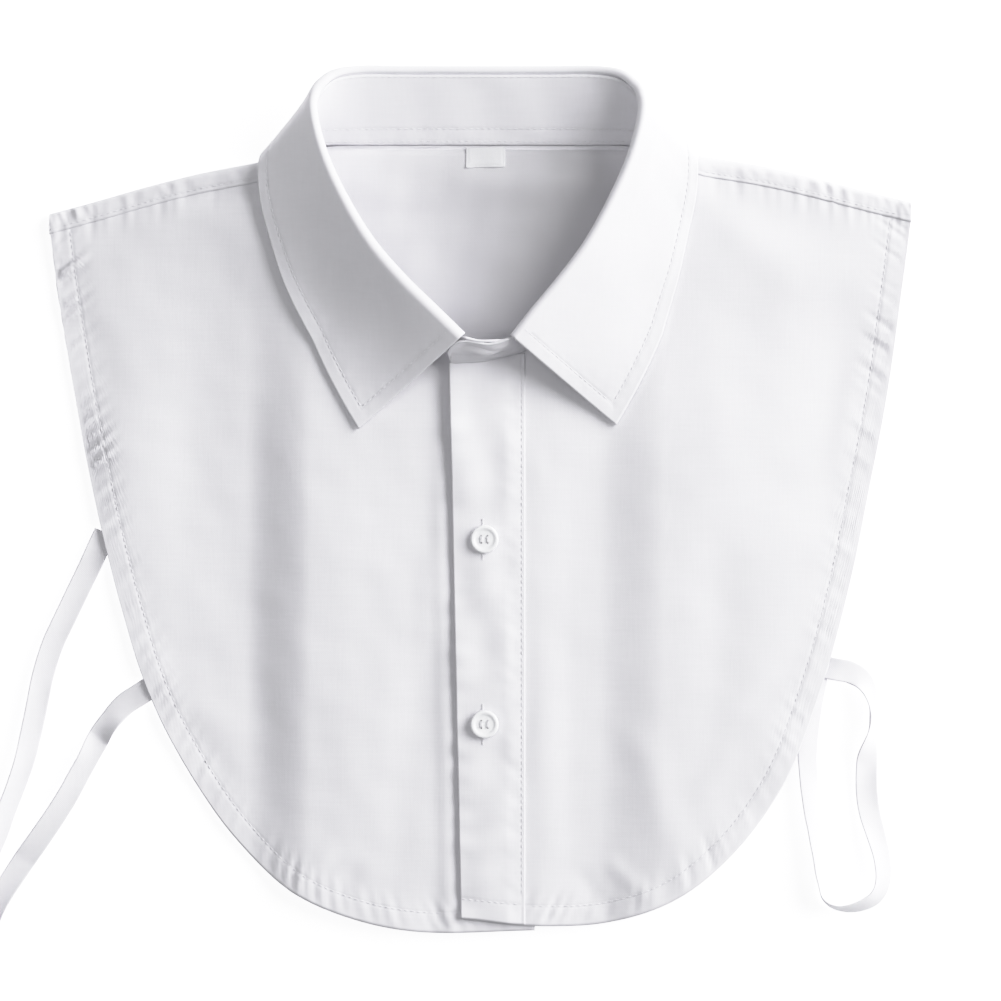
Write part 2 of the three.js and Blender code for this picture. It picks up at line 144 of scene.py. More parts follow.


# %% [markdown]
# ## Swells and ripples
#
# Cotton that has been worn and laid down is never quite flat: it keeps shallow swells a hand wide and short
# puckers along its stitching. Blender's cloth solver could drape it, but the swells have to fall where the
# real ones do, so they are waves with fixed random phases, and the large folds are listed later.

# %% Wave helpers
def swell(x, y, wavelength, seed, heading=0.0, turn=math.pi, waves=9):
    """A gentle uneven surface, about 1 high: plane waves of like length whose headings spread by turn."""
    draw = np.random.default_rng(seed)
    total = 0.0
    for _ in range(waves):
        length = wavelength * draw.uniform(0.65, 1.4)
        angle = heading + draw.uniform(-turn, turn)
        phase = draw.uniform(0, 2 * math.pi)
        total = total + np.sin(2 * math.pi * (x * math.cos(angle) + y * math.sin(angle)) / length + phase)
    return total / math.sqrt(waves)


def shiver(s, wavelength, seed, waves=6):
    """The same along a line: uneven puckers a wavelength apart."""
    draw = np.random.default_rng(seed)
    total = 0.0
    for _ in range(waves):
        length = wavelength * draw.uniform(0.6, 1.6)
        total = total + np.sin(2 * math.pi * s / length + draw.uniform(0, 2 * math.pi))
    return total / math.sqrt(waves)


def crease(x, y, start, end, width, depth, lean=0.0):
    """A soft trough (or ridge, if depth is positive) from start to end that fades out at both."""
    ax, ay = start
    bx, by = end
    length = math.hypot(bx - ax, by - ay)
    along = ((x - ax) * (bx - ax) + (y - ay) * (by - ay)) / length**2
    across = ((x - ax) * (by - ay) - (y - ay) * (bx - ax)) / length
    bow = lean * 4 * along * (1 - along)
    fade = ease(along, -0.12, 0.22) * (1 - ease(along, 0.72, 1.12))
    return depth * fade * np.exp(-(((across - bow) / width) ** 2))


# %% [markdown]
# ## The garment's sizes
#
# These are the driving sizes, in millimetres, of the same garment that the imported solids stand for: its
# outline, its neck and how its layers lie on each other. Every shell is worked out from them.

# %% Sizes and outlines
CLOTH = 1.0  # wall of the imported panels
GAP = 0.3
THIN = 0.55  # wall of the visible cloth
COLLAR_CLOTH = 1.1
HALF_WIDTH = 180.6
PLACKET_EDGE_X = -13.0
PLACKET_DRIFT = 5.0
PLACKET_INNER_X = 18.9
UNDER_FRONT_X = 23.0
SEAM_FORWARD = 7.0
SHOULDER_TILT = 0.014

EDGE_LEFT = [
    (-180.6, 115.5), (-177.2, 88), (-170, 44), (-162, 2), (-151.2, -42.2), (-139, -81),
    (-123, -112.8), (-103, -141.6), (-80, -163.6), (-54.2, -175.4), (-26, -181), (24, -180.4),
]
EDGE_RIGHT = [
    (180.6, 117.5), (176.8, 88), (171, 46), (162.2, 0), (153.2, -42), (142.3, -80),
    (127, -119), (107, -147), (83, -166.8), (55, -176.8), (28, -178.6), (-14, -175.4),
]
RIDGE = [
    (60, 148.8), (72, 148), (84, 144.6), (92, 142.8), (118, 138.2), (140, 133), (160, 127.6), (181, 122.2),
]

hem_left = height_along(EDGE_LEFT)
hem_right = height_along(EDGE_RIGHT)
ridge_half = height_along(RIDGE)


def ridge(x):
    return ridge_half(np.abs(x)) + SHOULDER_TILT * x * ease(np.abs(x), 70, 92)


def shoulder_seam(x):
    return ridge(x) - SEAM_FORWARD


# %% [markdown]
# ## How high each layer lies
#
# The back lies on the table, the fronts lie on the back, and one front laps over the other. The cloth also
# rides up on long slopes: it rolls up towards the buttons from the left, and has a crest down the right
# side. A slope is a row of a small table: the two lines it runs between, and how far it climbs at the neck,
# at the chest and at the hem.

# %% Layer heights
SLOPES = [
    # from, to, neck, chest, hem
    (-178, -150, 0.6, 1.2, 0.8),
    (-148, -112, -0.6, -1.0, -0.6),
    (-98, -71, 2.8, 6.4, 4.4),
    (-34, -16, -0.4, -1.2, -0.8),
    (50, 77, 1.4, 3.8, 3.6),
    (84, 180, -2.2, -7.6, -6.0),
]


def back_under(x, y):
    return 1.7 * ease(y, 118, 134) * (1 - ease(np.abs(x), 86, 104))


def fold_height(x, y):
    total = 0.0
    for start, end, neck, chest, hem in SLOPES:
        climb = mix(mix(neck, chest, ease(y, 90, 10)), hem, ease(y, -60, -175)) * ease(y, 150, 84)
        total = total + climb * ease(x, start, end)
    return total


def front_top(x, y):
    side = np.where(x < 0, -1.0, 1.0)
    beyond = np.abs(x) - 78
    half = np.minimum(78 + (beyond + np.hypot(beyond, 10)) / 2, HALF_WIDTH)
    seam = shoulder_seam(half * side)
    rise = mix(5.6, 0.9, ease(np.abs(x), 78, 176))
    held = rise * np.exp(-((np.maximum(0, seam - y) / 34) ** 2)) * ease(np.abs(x), 20, 70)
    tape = 1.9 * ease(x, 96, 131) * ease(y, -140, -108) * (1 - ease(y, -26, 10))
    return back_under(x, y) + 2 * CLOTH + GAP + held + fold_height(x, y) + tape


def over_top(x, y):
    return front_top(x, y) + (CLOTH + GAP) * (1 - ease(x, UNDER_FRONT_X, UNDER_FRONT_X + 16))


def topmost(x, y):
    return np.where(x < PLACKET_EDGE_X - 3, front_top(x, y), over_top(x, y))


def drifted(x, y):
    return x + PLACKET_DRIFT * np.clip((60 - y) / 236, 0, 1) * (1 - ease(x, PLACKET_EDGE_X, 17))


print("highest cloth at the crest", round(float(over_top(np.array(82.0), np.array(-20.0))), 1), "mm")

# %% [markdown]
# ## From a grid to cloth
#
# A shell starts as Blender's own grid operator, which gives clean quads. Its points are then moved to where
# the cloth goes, and the wall is grown downwards from that face by the solidify operator, so the visible face
# stays exactly where it was put. Numbers that the finish needs, such as how far a point is from the nearest
# seam, are stored on the points as attributes.

# %% Shell builder
def new_object(name, mesh):
    piece = bpy.data.objects.new(name, mesh)
    bpy.context.scene.collection.objects.link(piece)
    return piece


def shell(name, face, wall, marks=None, facing=(0, 0, 1), at=(0.5, 0.5)):
    """A cloth wall whose visible face is the grid of points face, in mm, and looks along facing at one
    point of the grid. marks are numbers to keep on its points."""
    rows, cols = face.shape[:2]
    bm = bmesh.new()
    bmesh.ops.create_grid(bm, x_segments=rows - 1, y_segments=cols - 1, size=1.0, calc_uvs=False)
    mesh = bpy.data.meshes.new(name)
    bm.to_mesh(mesh)
    bm.free()
    flat = np.empty(len(mesh.vertices) * 3)
    mesh.vertices.foreach_get("co", flat)
    flat = flat.reshape(-1, 3)
    i = np.rint((flat[:, 0] + 1) / 2 * (rows - 1)).astype(int)
    j = np.rint((flat[:, 1] + 1) / 2 * (cols - 1)).astype(int)
    mesh.vertices.foreach_set("co", (face[i, j] * MM).ravel())
    for key, values in (marks or {}).items():
        layer = mesh.attributes.new(key, "FLOAT", "POINT")
        layer.data.foreach_set("value", np.asarray(values, dtype=np.float32)[i, j])
    a, b = int(at[0] * (rows - 2)), int(at[1] * (cols - 2))
    looks = np.cross(face[a + 1, b] - face[a, b], face[a, b + 1] - face[a, b])
    if np.dot(looks, facing) < 0:
        mesh.flip_normals()
    mesh.shade_smooth()
    mesh.update()
    piece = new_object(name, mesh)
    wall_maker = piece.modifiers.new("wall", "SOLIDIFY")
    wall_maker.thickness = wall * MM
    wall_maker.offset = -1.0
    wall_maker.use_rim = True
    print(name, "grid", rows, "x", cols, "quads", (rows - 1) * (cols - 1))
    return piece


def far_from(x, y, line):
    """Distance from each point to a line of points, and how far along the line the nearest one is."""
    line = np.asarray(line, dtype=float)
    travelled = np.concatenate([[0], np.cumsum(np.linalg.norm(np.diff(line, axis=0), axis=1))])
    best = np.full(x.shape, np.inf)
    place = np.zeros(x.shape)
    for (px, py), s in zip(line, travelled):
        d = np.hypot(x - px, y - py)
        nearer = d < best
        best = np.where(nearer, d, best)
        place = np.where(nearer, s, place)
    return best, place


# %% [markdown]
# ## The neck, station by station
#
# The collar is one band that stands up from the neck seam and folds over at the top. Half of the neck is
# drawn as rows from the centre back to the centre front. Each row gives the fold, the seam under it and the
# free edge of the leaf, and how fast the leaf falls. The other half mirrors it, on a slightly leaning line.

# %% Neck rows and stations
NECK_ROWS = [
    # fold x, y, z, seam x, y, z, edge x, y, z, drop
    (0, 181.2, 11, 0, 148.5, 3.4, 0, 137, 0, 3.4),
    (30, 181.2, 11.5, 30, 148.5, 3.4, 32, 137, 0, 3.4),
    (50, 181, 14, 50, 148.4, 3.6, 56, 137.3, 0, 3.4),
    (59.5, 179, 18, 62, 148.4, 4, 73, 138.2, 0, 3.2),
    (64.2, 175, 22, 70, 147.6, 5.2, 81, 140.2, 0, 2.7),
    (66.2, 172, 24, 73, 146, 7.6, 87, 146.6, 0.3, 1.9),
    (67, 168.8, 25.4, 75.6, 143.4, 10.2, 90, 146.8, 5, 1.4),
    (67.3, 165, 26.6, 78, 139.6, 11.4, 91.7, 142, 11.6, 1.25),
    (66.2, 157, 28, 79, 130.5, 11, 91.3, 127, 11.4, 1.15),
    (61.8, 142, 29, 76.5, 118, 9.4, 87.2, 108.6, 9.2, 1),
    (53.5, 124, 29.5, 69, 104.5, 8, 82.4, 91, 8.3, 1),
    (43.5, 107, 29.5, 57.5, 91, 7.4, 75.6, 73.4, 8.2, 1),
    (31.5, 92, 29, 42.5, 78.6, 6.8, 68, 56, 7.6, 1),
    (19.5, 79, 28.4, 27.5, 68.6, 6.3, 60.8, 42, 7, 1),
    (9.9, 68.2, 27.6, 13.6, 62.2, 6.2, 54, 30.2, 6.4, 1),
]
ROLL = 2.3
STAND_SEAM = 1.3


def lean(y):
    return -0.9 + 3.9 * np.clip((172 - y) / 104, 0, 1) ** 4


def neck_station(t):
    """Fold, seam, free edge, heading and drop at t, from -1 at the left front to 1 at the right front."""
    t = np.atleast_1d(np.asarray(t, dtype=float))
    side = np.where(t < 0, -1.0, 1.0)
    s = np.abs(t)
    row = through(NECK_ROWS, s)
    fold, seam, edge = (through([r[first : first + 3] for r in NECK_ROWS], s) for first in (0, 3, 6))
    fold_rows = [r[0:3] for r in NECK_ROWS]
    onward = unit(through(fold_rows, s + 1e-4) - through(fold_rows, s - 1e-4))
    tilt = SHOULDER_TILT * ease(s, 0.25, 0.5)

    def place(p, tilted=0.0):
        return np.column_stack([side * p[:, 0] + lean(p[:, 1]), p[:, 1] + tilted * side * p[:, 0], p[:, 2]])

    def above(p, lift):
        cloth = topmost(p[:, 0], p[:, 1]) + lift
        p[:, 2] = np.where(s > 0.55, np.maximum(p[:, 2], cloth), np.maximum(p[:, 2], 0))
        return p

    return {
        "fold": place(fold),
        "seam": above(place(seam), GAP + 0.2),
        "edge": above(place(edge, tilt), GAP + 1.6),
        "along": np.column_stack([onward[:, 0], side * onward[:, 1], side * onward[:, 2]]),
        "drop": row[:, 9],
    }


def bend_point(station, u, roll=ROLL):
    """A point of the bend: -1 where the neck side begins, 0 on top of the fold, 1 where the leaf begins."""
    down = unit(unit(station["seam"] - station["fold"]) + unit(station["edge"] - station["fold"]))
    out = unit(np.cross(station["along"], down))
    angle = u * math.pi / 2
    return station["fold"] + down * (ROLL - roll * math.cos(angle)) + out * roll * math.sin(angle)


# %% [markdown]
# ## The cotton and its finish
#
# Fine shirt cotton is a plain weave of slightly uneven threads. At arm's length the weave itself melts
# away, and what is left is a faint streakiness along both threads, a soft sheen, and a dent along every row
# of stitching, shaded by its bump and by a little shade painted into the colour. The weave is one node group
# with named inputs, so each cloth can have its own scale. The dent reads a number stored on the points, so it
# stays sharp however coarse the mesh is.

# %% Node helpers and the weave group
def socket(node, name, value):
    node.inputs[name].default_value = value


def maths(tree, operation, a, b=None, clamp=False):
    node = tree.nodes.new("ShaderNodeMath")
    node.operation = operation
    node.use_clamp = clamp
    for slot_index, value in enumerate((a, b)):
        if value is None:
            continue
        if isinstance(value, (int, float)):
            node.inputs[slot_index].default_value = value
        else:
            tree.links.new(value, node.inputs[slot_index])
    return node.outputs[0]


def new_group(name, inputs, outputs):
    group = bpy.data.node_groups.new(name, "ShaderNodeTree")
    for key, kind, value in inputs:
        made = group.interface.new_socket(name=key, in_out="INPUT", socket_type=kind)
        if value is not None:
            made.default_value = value
    for key, kind in outputs:
        group.interface.new_socket(name=key, in_out="OUTPUT", socket_type=kind)
    return group, group.nodes.new("NodeGroupInput"), group.nodes.new("NodeGroupOutput")


def stretched_noise(tree, where, scale, detail=2.0, roughness=0.5):
    mapping = tree.nodes.new("ShaderNodeMapping")
    tree.links.new(where, mapping.inputs["Vector"])
    mapping.inputs["Scale"].default_value = scale
    noise = tree.nodes.new("ShaderNodeTexNoise")
    tree.links.new(mapping.outputs[0], noise.inputs["Vector"])
    socket(noise, "Scale", 1.0)
    socket(noise, "Detail", detail)
    socket(noise, "Roughness", roughness)
    return noise.outputs["Fac"]


def weave_group():
    """Plain weave: height of the threads, and how light the cloth is along uneven threads."""
    group, given, result = new_group(
        "plain_weave",
        [
            ("Vector", "NodeSocketVector", None),
            ("Threads per metre", "NodeSocketFloat", 2600.0),
            ("Slub", "NodeSocketFloat", 0.5),
        ],
        [("Height", "NodeSocketFloat"), ("Lightness", "NodeSocketFloat")],
    )
    where = given.outputs["Vector"]
    parts = group.nodes.new("ShaderNodeSeparateXYZ")
    group.links.new(where, parts.inputs[0])
    turns = maths(group, "MULTIPLY", given.outputs["Threads per metre"], math.pi)
    warp = maths(group, "SINE", maths(group, "MULTIPLY", parts.outputs[0], turns))
    weft = maths(group, "SINE", maths(group, "MULTIPLY", parts.outputs[1], turns))
    crossing = maths(group, "MULTIPLY", warp, weft)
    warp_slub = stretched_noise(group, where, (900.0, 70.0, 300.0), 3.0)
    weft_slub = stretched_noise(group, where, (60.0, 800.0, 300.0), 3.0)
    cloud = stretched_noise(group, where, (45.0, 45.0, 45.0), 3.0, 0.6)
    slubs = maths(group, "ADD", warp_slub, weft_slub)
    uneven = maths(group, "MULTIPLY", slubs, given.outputs["Slub"])
    height = maths(group, "ADD", maths(group, "MULTIPLY", crossing, 0.25), uneven)
    half_slubs = maths(group, "MULTIPLY", slubs, 0.5)
    lightness = maths(group, "ADD", half_slubs, maths(group, "MULTIPLY", cloud, 0.5))
    group.links.new(height, result.inputs["Height"])
    group.links.new(lightness, result.inputs["Lightness"])
    return group


def seam_group():
    """The dent that a row of stitching pulls into cloth: its height, and how much shade is painted into its
    colour.
    """
    group, given, result = new_group(
        "stitched_dent",
        [
            ("Vector", "NodeSocketVector", None),
            ("Distance", "NodeSocketFloat", 9.0),
            ("Width", "NodeSocketFloat", 0.9),
        ],
        [("Height", "NodeSocketFloat"), ("Shade", "NodeSocketFloat")],
    )
    share = maths(group, "DIVIDE", given.outputs["Distance"], given.outputs["Width"])

    def bell(across):
        square = maths(group, "MULTIPLY", across, across)
        return maths(group, "POWER", 2.718, maths(group, "MULTIPLY", square, -1.0))

    near = bell(share)
    wide = bell(maths(group, "MULTIPLY", share, 0.28))
    pucker = stretched_noise(group, given.outputs["Vector"], (240.0, 240.0, 240.0), 2.0)
    pucker = maths(group, "MULTIPLY", maths(group, "SUBTRACT", pucker, 0.5), wide)
    height = maths(group, "ADD", maths(group, "MULTIPLY", near, -1.0), maths(group, "MULTIPLY", pucker, 1.6))
    group.links.new(height, result.inputs["Height"])
    group.links.new(near, result.inputs["Shade"])
    return group


WEAVE = weave_group()
DENT = seam_group()


# %% [markdown]
# Each cloth then gets its own material from the two groups. The colour is a cool white, because shirts are
# dyed with a little blue so that they look clean, and no white cloth reflects all the light that falls on
# it. The shader's own sheen gives the soft light that the nap throws at a low angle. A second number on the
# points paints shade into the colour: it greys the cloth where it should lie in deeper shade than the lamps
# alone leave.

# %% Cloth materials
COTTON_WHITE = (0.775, 0.768, 0.800)


def cloth_material(name, colour, threads=2600.0, slub=0.5, relief=0.00006, dent=0.00011, roughness=0.85):
    material = bpy.data.materials.new(name)
    material.use_nodes = True
    tree = material.node_tree
    tree.nodes.clear()
    output = tree.nodes.new("ShaderNodeOutputMaterial")
    shader = tree.nodes.new("ShaderNodeBsdfPrincipled")
    tree.links.new(shader.outputs[0], output.inputs["Surface"])
    socket(shader, "Sheen Weight", 0.12)
    socket(shader, "Sheen Roughness", 0.5)
    socket(shader, "Specular IOR Level", 0.25)

    where = tree.nodes.new("ShaderNodeTexCoord").outputs["Object"]
    weave = tree.nodes.new("ShaderNodeGroup")
    weave.node_tree = WEAVE
    tree.links.new(where, weave.inputs["Vector"])
    socket(weave, "Threads per metre", threads)
    socket(weave, "Slub", slub)
    seam = tree.nodes.new("ShaderNodeAttribute")
    seam.attribute_name = "seam_mm"
    seam_dent = tree.nodes.new("ShaderNodeGroup")
    seam_dent.node_tree = DENT
    tree.links.new(where, seam_dent.inputs["Vector"])
    tree.links.new(seam.outputs["Fac"], seam_dent.inputs["Distance"])
    socket(seam_dent, "Width", 0.8)

    tone = tree.nodes.new("ShaderNodeMix")
    tone.data_type = "RGBA"
    tone.inputs["A"].default_value = (*(0.955 * c for c in colour), 1)
    tone.inputs["B"].default_value = (*(min(1.0, 1.045 * c) for c in colour), 1)
    tree.links.new(weave.outputs["Lightness"], tone.inputs["Factor"])
    # Painted shade: the colour is darkened a little along each row of stitching, in its dent.
    shaded = tree.nodes.new("ShaderNodeMix")
    shaded.data_type = "RGBA"
    shaded.inputs["B"].default_value = (*(0.80 * c for c in colour), 1)
    tree.links.new(tone.outputs["Result"], shaded.inputs["A"])
    tree.links.new(maths(tree, "MULTIPLY", seam_dent.outputs["Shade"], 0.16), shaded.inputs["Factor"])
    # Painted shade: a number on the points greys the colour, where the cloth should lie in deeper shade than
    # the lamps leave.
    painted_shade_reader = tree.nodes.new("ShaderNodeAttribute")
    painted_shade_reader.attribute_name = "painted_neck_shade"
    painted_shade_mix = tree.nodes.new("ShaderNodeMix")
    painted_shade_mix.data_type = "RGBA"
    painted_shade_mix.inputs["B"].default_value = (*(0.73 * c for c in colour), 1)
    tree.links.new(shaded.outputs["Result"], painted_shade_mix.inputs["A"])
    tree.links.new(painted_shade_reader.outputs["Fac"], painted_shade_mix.inputs["Factor"])
    tree.links.new(painted_shade_mix.outputs["Result"], shader.inputs["Base Color"])
    rough = tree.nodes.new("ShaderNodeMapRange")
    tree.links.new(weave.outputs["Lightness"], rough.inputs["Value"])
    socket(rough, "To Min", roughness + 0.06)
    socket(rough, "To Max", roughness - 0.08)
    tree.links.new(rough.outputs["Result"], shader.inputs["Roughness"])

    weave_bump = tree.nodes.new("ShaderNodeBump")
    socket(weave_bump, "Strength", 1.0)
    socket(weave_bump, "Distance", relief)
    tree.links.new(weave.outputs["Height"], weave_bump.inputs["Height"])
    dent_bump = tree.nodes.new("ShaderNodeBump")
    socket(dent_bump, "Strength", 1.0)
    socket(dent_bump, "Distance", dent)
    tree.links.new(seam_dent.outputs["Height"], dent_bump.inputs["Height"])
    tree.links.new(weave_bump.outputs["Normal"], dent_bump.inputs["Normal"])
    tree.links.new(dent_bump.outputs["Normal"], shader.inputs["Normal"])
    return material


SHIRT = cloth_material("shirt_cotton", COTTON_WHITE)
COLLAR = cloth_material("collar_cotton", COTTON_WHITE, slub=0.35, relief=0.00005, roughness=0.78)
TAPE_CLOTH = cloth_material("strap_tape", COTTON_WHITE, threads=2200.0, slub=0.3, relief=0.0001)
LABEL_CLOTH = cloth_material(
    "label_tape", (0.70, 0.70, 0.72), threads=4200.0, slub=0.2, relief=0.00008, roughness=0.6
)
THREAD = cloth_material(
    "sewing_thread", (0.80, 0.795, 0.82), threads=5200.0, slub=0.2, relief=0.00003, roughness=0.6
)


def dress(piece, material):
    """Give a piece its material and the body that it rides on."""
    piece.data.materials.clear()
    piece.data.materials.append(material)
    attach(piece, "root")
    return piece


# %% [markdown]
# ## The two tapes
#
# A narrow cotton tape is sewn into each armhole edge as a loop. A ribbon can't turn a corner while it lies
# flat, so it leans over on the straights and stands almost on its edge where it turns back. The route is
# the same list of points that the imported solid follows, and the lean is a second short list, in degrees
# against the share of the way. The right tape makes half a twist in its lower bend. The height of the
# middle follows from the lean, so the lower edge always stays on the table.

# %% Tape routes
TAPE_WIDTH = 9.4
TAPE_WALL = 0.5
TAPES = {
    "strap_left": {
        "route": [
            (-160.6, -21, 1.4), (-164, -28.4, 0.75), (-167.6, -35.9, 0.75), (-173.6, -48.4, 0.75),
            (-179.3, -60.7, 0.75), (-183.6, -74.6, 0.75), (-186.8, -90.5, 0.75), (-190.3, -106.1, 0.75),
            (-194.6, -119.6, 0.75), (-199.6, -133, 0.75), (-205, -148.4, 0.75), (-210.6, -162, 0.75),
            (-215.4, -172.6, 0.75), (-217.6, -179.6, 0.75), (-215.8, -185.6, 0.75), (-210.4, -187.4, 0.75),
            (-206.2, -183.6, 0.75), (-204.4, -176.6, 0.75), (-200.8, -166.8, 0.75), (-192.6, -153.2, 0.75),
            (-184.2, -141.2, 0.75), (-175.4, -128, 0.75), (-166.6, -112.4, 0.75), (-158.4, -97.4, 0.75),
            (-149.6, -86.4, 0.9), (-142.6, -81.6, 1.5),
        ],
        "lean": [(0, 0), (0.05, -6), (0.16, -14), (0.3, -26), (0.42, -44), (0.5, -84), (0.58, -66),
                 (0.66, -22), (0.74, 12), (0.82, 24), (0.88, 30), (0.915, -34), (0.95, -4), (1, 0)],
        "sewn_in": (8.0, 8.0),
    },
    "strap_right": {
        "route": [
            (150.2, -71.4, 1.9), (155, -72.4, 1.4), (160, -75.4, 0.9), (163.2, -81.4, 0.9),
            (163.4, -92, 0.9), (162.6, -104, 0.9), (162, -116.4, 0.9), (162.8, -128, 0.9),
            (165.4, -139.4, 0.9), (168.2, -150, 0.9), (168.8, -159.4, 0.9), (165.2, -166.8, 0.9),
            (157.6, -170.4, 0.9), (149.2, -170.6, 0.9), (143.6, -166.6, 0.9), (142.2, -159, 0.9),
            (141.6, -148, 0.9), (140.2, -137, 0.9), (138.6, -125.6, 1), (137.6, -114.6, 1.2),
            (137.4, -103.4, 2.1), (138.4, -92, 2.2), (140.6, -78, 2.2), (143.4, -63, 2.2),
            (146.6, -48, 2.2), (149.4, -36, 2.2),
        ],
        "lean": [(0, 0), (0.06, -12), (0.11, -66), (0.14, -96), (0.165, -70), (0.19, -18), (0.26, -10),
                 (0.34, -34), (0.44, -58), (0.5, -88), (0.57, -112), (0.62, -134), (0.7, -146),
                 (0.8, -158), (0.9, -176), (1, -180)],
        "sewn_in": (9.0, 2.0),
    },
}


def tape_face(facts, stations=260, across=15):
    """The tape's upper face and the middle line that it follows, both in mm."""
    route = through(facts["route"], np.linspace(0, 1, 900))
    ends = [
        end + unit(end - inner) * reach * (1, 1, 0)
        for end, inner, reach in zip(route[[0, -1]], route[[6, -7]], facts["sewn_in"])
    ]
    middle = evenly(np.vstack([ends[0], route, ends[1]]), stations)
    share = np.linspace(0, 1, stations)
    degrees = np.interp(share, *np.array(facts["lean"], dtype=float).T)
    degrees = np.convolve(np.pad(degrees, 5, mode="edge"), np.ones(11) / 11, mode="valid")
    lean_angle = np.radians(degrees + 3.0 * shiver(share * 300, 60, 5) * np.sin(share * math.pi))
    middle[:, 2] += np.sin(np.abs(lean_angle)) * TAPE_WIDTH / 2 * 0.96
    onward = unit(np.gradient(middle, axis=0))
    level = unit(np.column_stack([-onward[:, 1], onward[:, 0], np.zeros(stations)]))
    up = np.cross(onward, level)
    up *= np.sign(up[:, 2:3] + 1e-9)
    spread = np.linspace(-1, 1, across)
    over = level * np.cos(lean_angle)[:, None] + up * np.sin(lean_angle)[:, None]
    normal = unit(np.cross(onward, over))
    cup = (0.55 + 0.2 * shiver(share * 300, 22, 9))[:, None] * (spread**2)[None, :]
    face = (
        middle[:, None, :]
        + over[:, None, :] * (spread * TAPE_WIDTH / 2)[None, :, None]
        + normal[:, None, :] * (cup - 0.2)[:, :, None]
    )
    return face, middle


for tape_name, facts in TAPES.items():
    face, middle = tape_face(facts)
    tape = shell(tape_name + "_tape", face, TAPE_WALL, {"seam_mm": np.full(face.shape[:2], 20.0)})
    tape.modifiers["wall"].offset = 0.0
    dress(tape, TAPE_CLOTH)
    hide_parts(tape_name)


# %% [markdown]
# ## The fronts
#
# Each front is one panel from the shoulder to the round hem. It is drawn as a grid whose columns run from
# the centre out to the armhole, closer together towards the edge, and whose rows run from the hem up to the
# neck and shoulder. The hem is turned and stitched, so the last 8 mm are a little thicker, end in a dent,
# and pucker across. The large folds were in the height functions already: only small swells are added.

# %% Front panel shape
NECK_EDGE = height_along([(row[3], row[4] + 2.5) for row in reversed(NECK_ROWS[8:])])
HEM = 8.4
HEM_LINES = {
    "left": through(EDGE_LEFT, np.linspace(0, 1, 520)),
    "right": through(EDGE_RIGHT, np.linspace(0, 1, 520)),
}


def front_grid(inner, outer, hem, columns, rows):
    """x and y of the panel's points as it lies, before its height."""
    column = mix(inner, outer, np.sin(np.linspace(0, 1, columns) * math.pi / 2))
    half = np.abs(column - lean(60) * (1 - ease(np.abs(column), 20, 70)))
    side = math.copysign(1, outer)
    top = np.where(
        half < 79,
        np.minimum(NECK_EDGE(np.maximum(half, 14)), shoulder_seam(np.array(79.0 * side))),
        shoulder_seam(column),
    )
    v = np.linspace(0, 1, rows)
    y = mix(hem(column)[:, None], (top - GAP)[:, None], v[None, :])
    x = np.broadcast_to(column[:, None], y.shape)
    return x.copy(), y


def hem_relief(x, y, line, seed):
    """Extra height of a turned hem, and the distance to its row of stitching."""
    away, place = far_from(x, y, line)
    band = 1 - ease(away, HEM - 1.5, HEM + 2.5)
    slanted = place + 0.5 * away
    strength = 0.75 + 0.45 * shiver(place, 60, seed + 2)
    pucker = (0.30 * shiver(slanted, 8.5, seed) + 0.16 * shiver(slanted, 4.6, seed + 4)) * strength
    pucker = pucker * ease(away, 0.3, 3) * (1 - ease(away, HEM - 1, HEM + 9))
    dent = np.exp(-(((away - HEM) / 1.0) ** 2))
    slack = 0.25 * shiver(place, 34, seed + 1) * (1 - ease(away, 0, 22))
    return 0.16 * band + pucker - 0.10 * dent + slack, np.abs(away - HEM), away


def shoulder_relief(x, y, seed):
    """Puckers along the shoulder seam."""
    away = np.abs(shoulder_seam(x) - y)
    near = np.exp(-((away / 7) ** 2)) * ease(np.abs(x), 78, 92)
    return (0.24 * shiver(x, 9, seed) + 0.12 * shiver(x, 4.5, seed + 1)) * near


def edge_lift(x, y):
    """The buttoned edge stands off the front below it, most just under the collar."""
    return 2.1 * ease(y, -30, 56) * (1 - ease(x, PLACKET_EDGE_X - 1, PLACKET_EDGE_X + 20))


SEEDS = {"left": 11, "right": 31}
print("hem stitched", HEM, "mm in")

# %% [markdown]
# The creases are listed one by one: a wedge under each shoulder, soft troughs that run down from the leaf,
# and short pulls where the hem turns the corner. They are uneven in length and depth, as real ones are.

# %% Creases, listed one by one
CREASES_RIGHT_FRONT = [
    # start, end, width, depth, bow
    ((-88, 131), (-122, 124), 4.0, -1.3, 1.0),
    ((-95, 118), (-150, 104), 9.0, 0.7, 4.0),
    ((-104, 112), (-122, -20), 13.0, -0.7, 5.0),
    ((-150, 92), (-141, -30), 14.0, 0.6, -5.0),
    ((-168, 100), (-158, 30), 8.0, -0.6, 3.0),
    ((-60, 20), (-52, -150), 12.0, 0.5, 4.0),
    ((-36, 40), (-28, -120), 10.0, -0.5, -3.0),
    ((-24, -70), (-34, -172), 9.0, -0.8, 3.0),
    ((-20, -20), (-22, -66), 5.0, 0.5, 1.0),
    ((-108, -20), (-86, -140), 9.0, -0.6, -4.0),
    ((-82, -168), (-60, -146), 4.0, 0.8, 0.0),
    ((-66, -176), (-50, -152), 4.5, -0.7, 0.0),
    ((-140, -64), (-104, -96), 8.0, 0.6, 3.0),
    ((-126, -92), (-98, -120), 6.0, -0.5, 2.0),
]
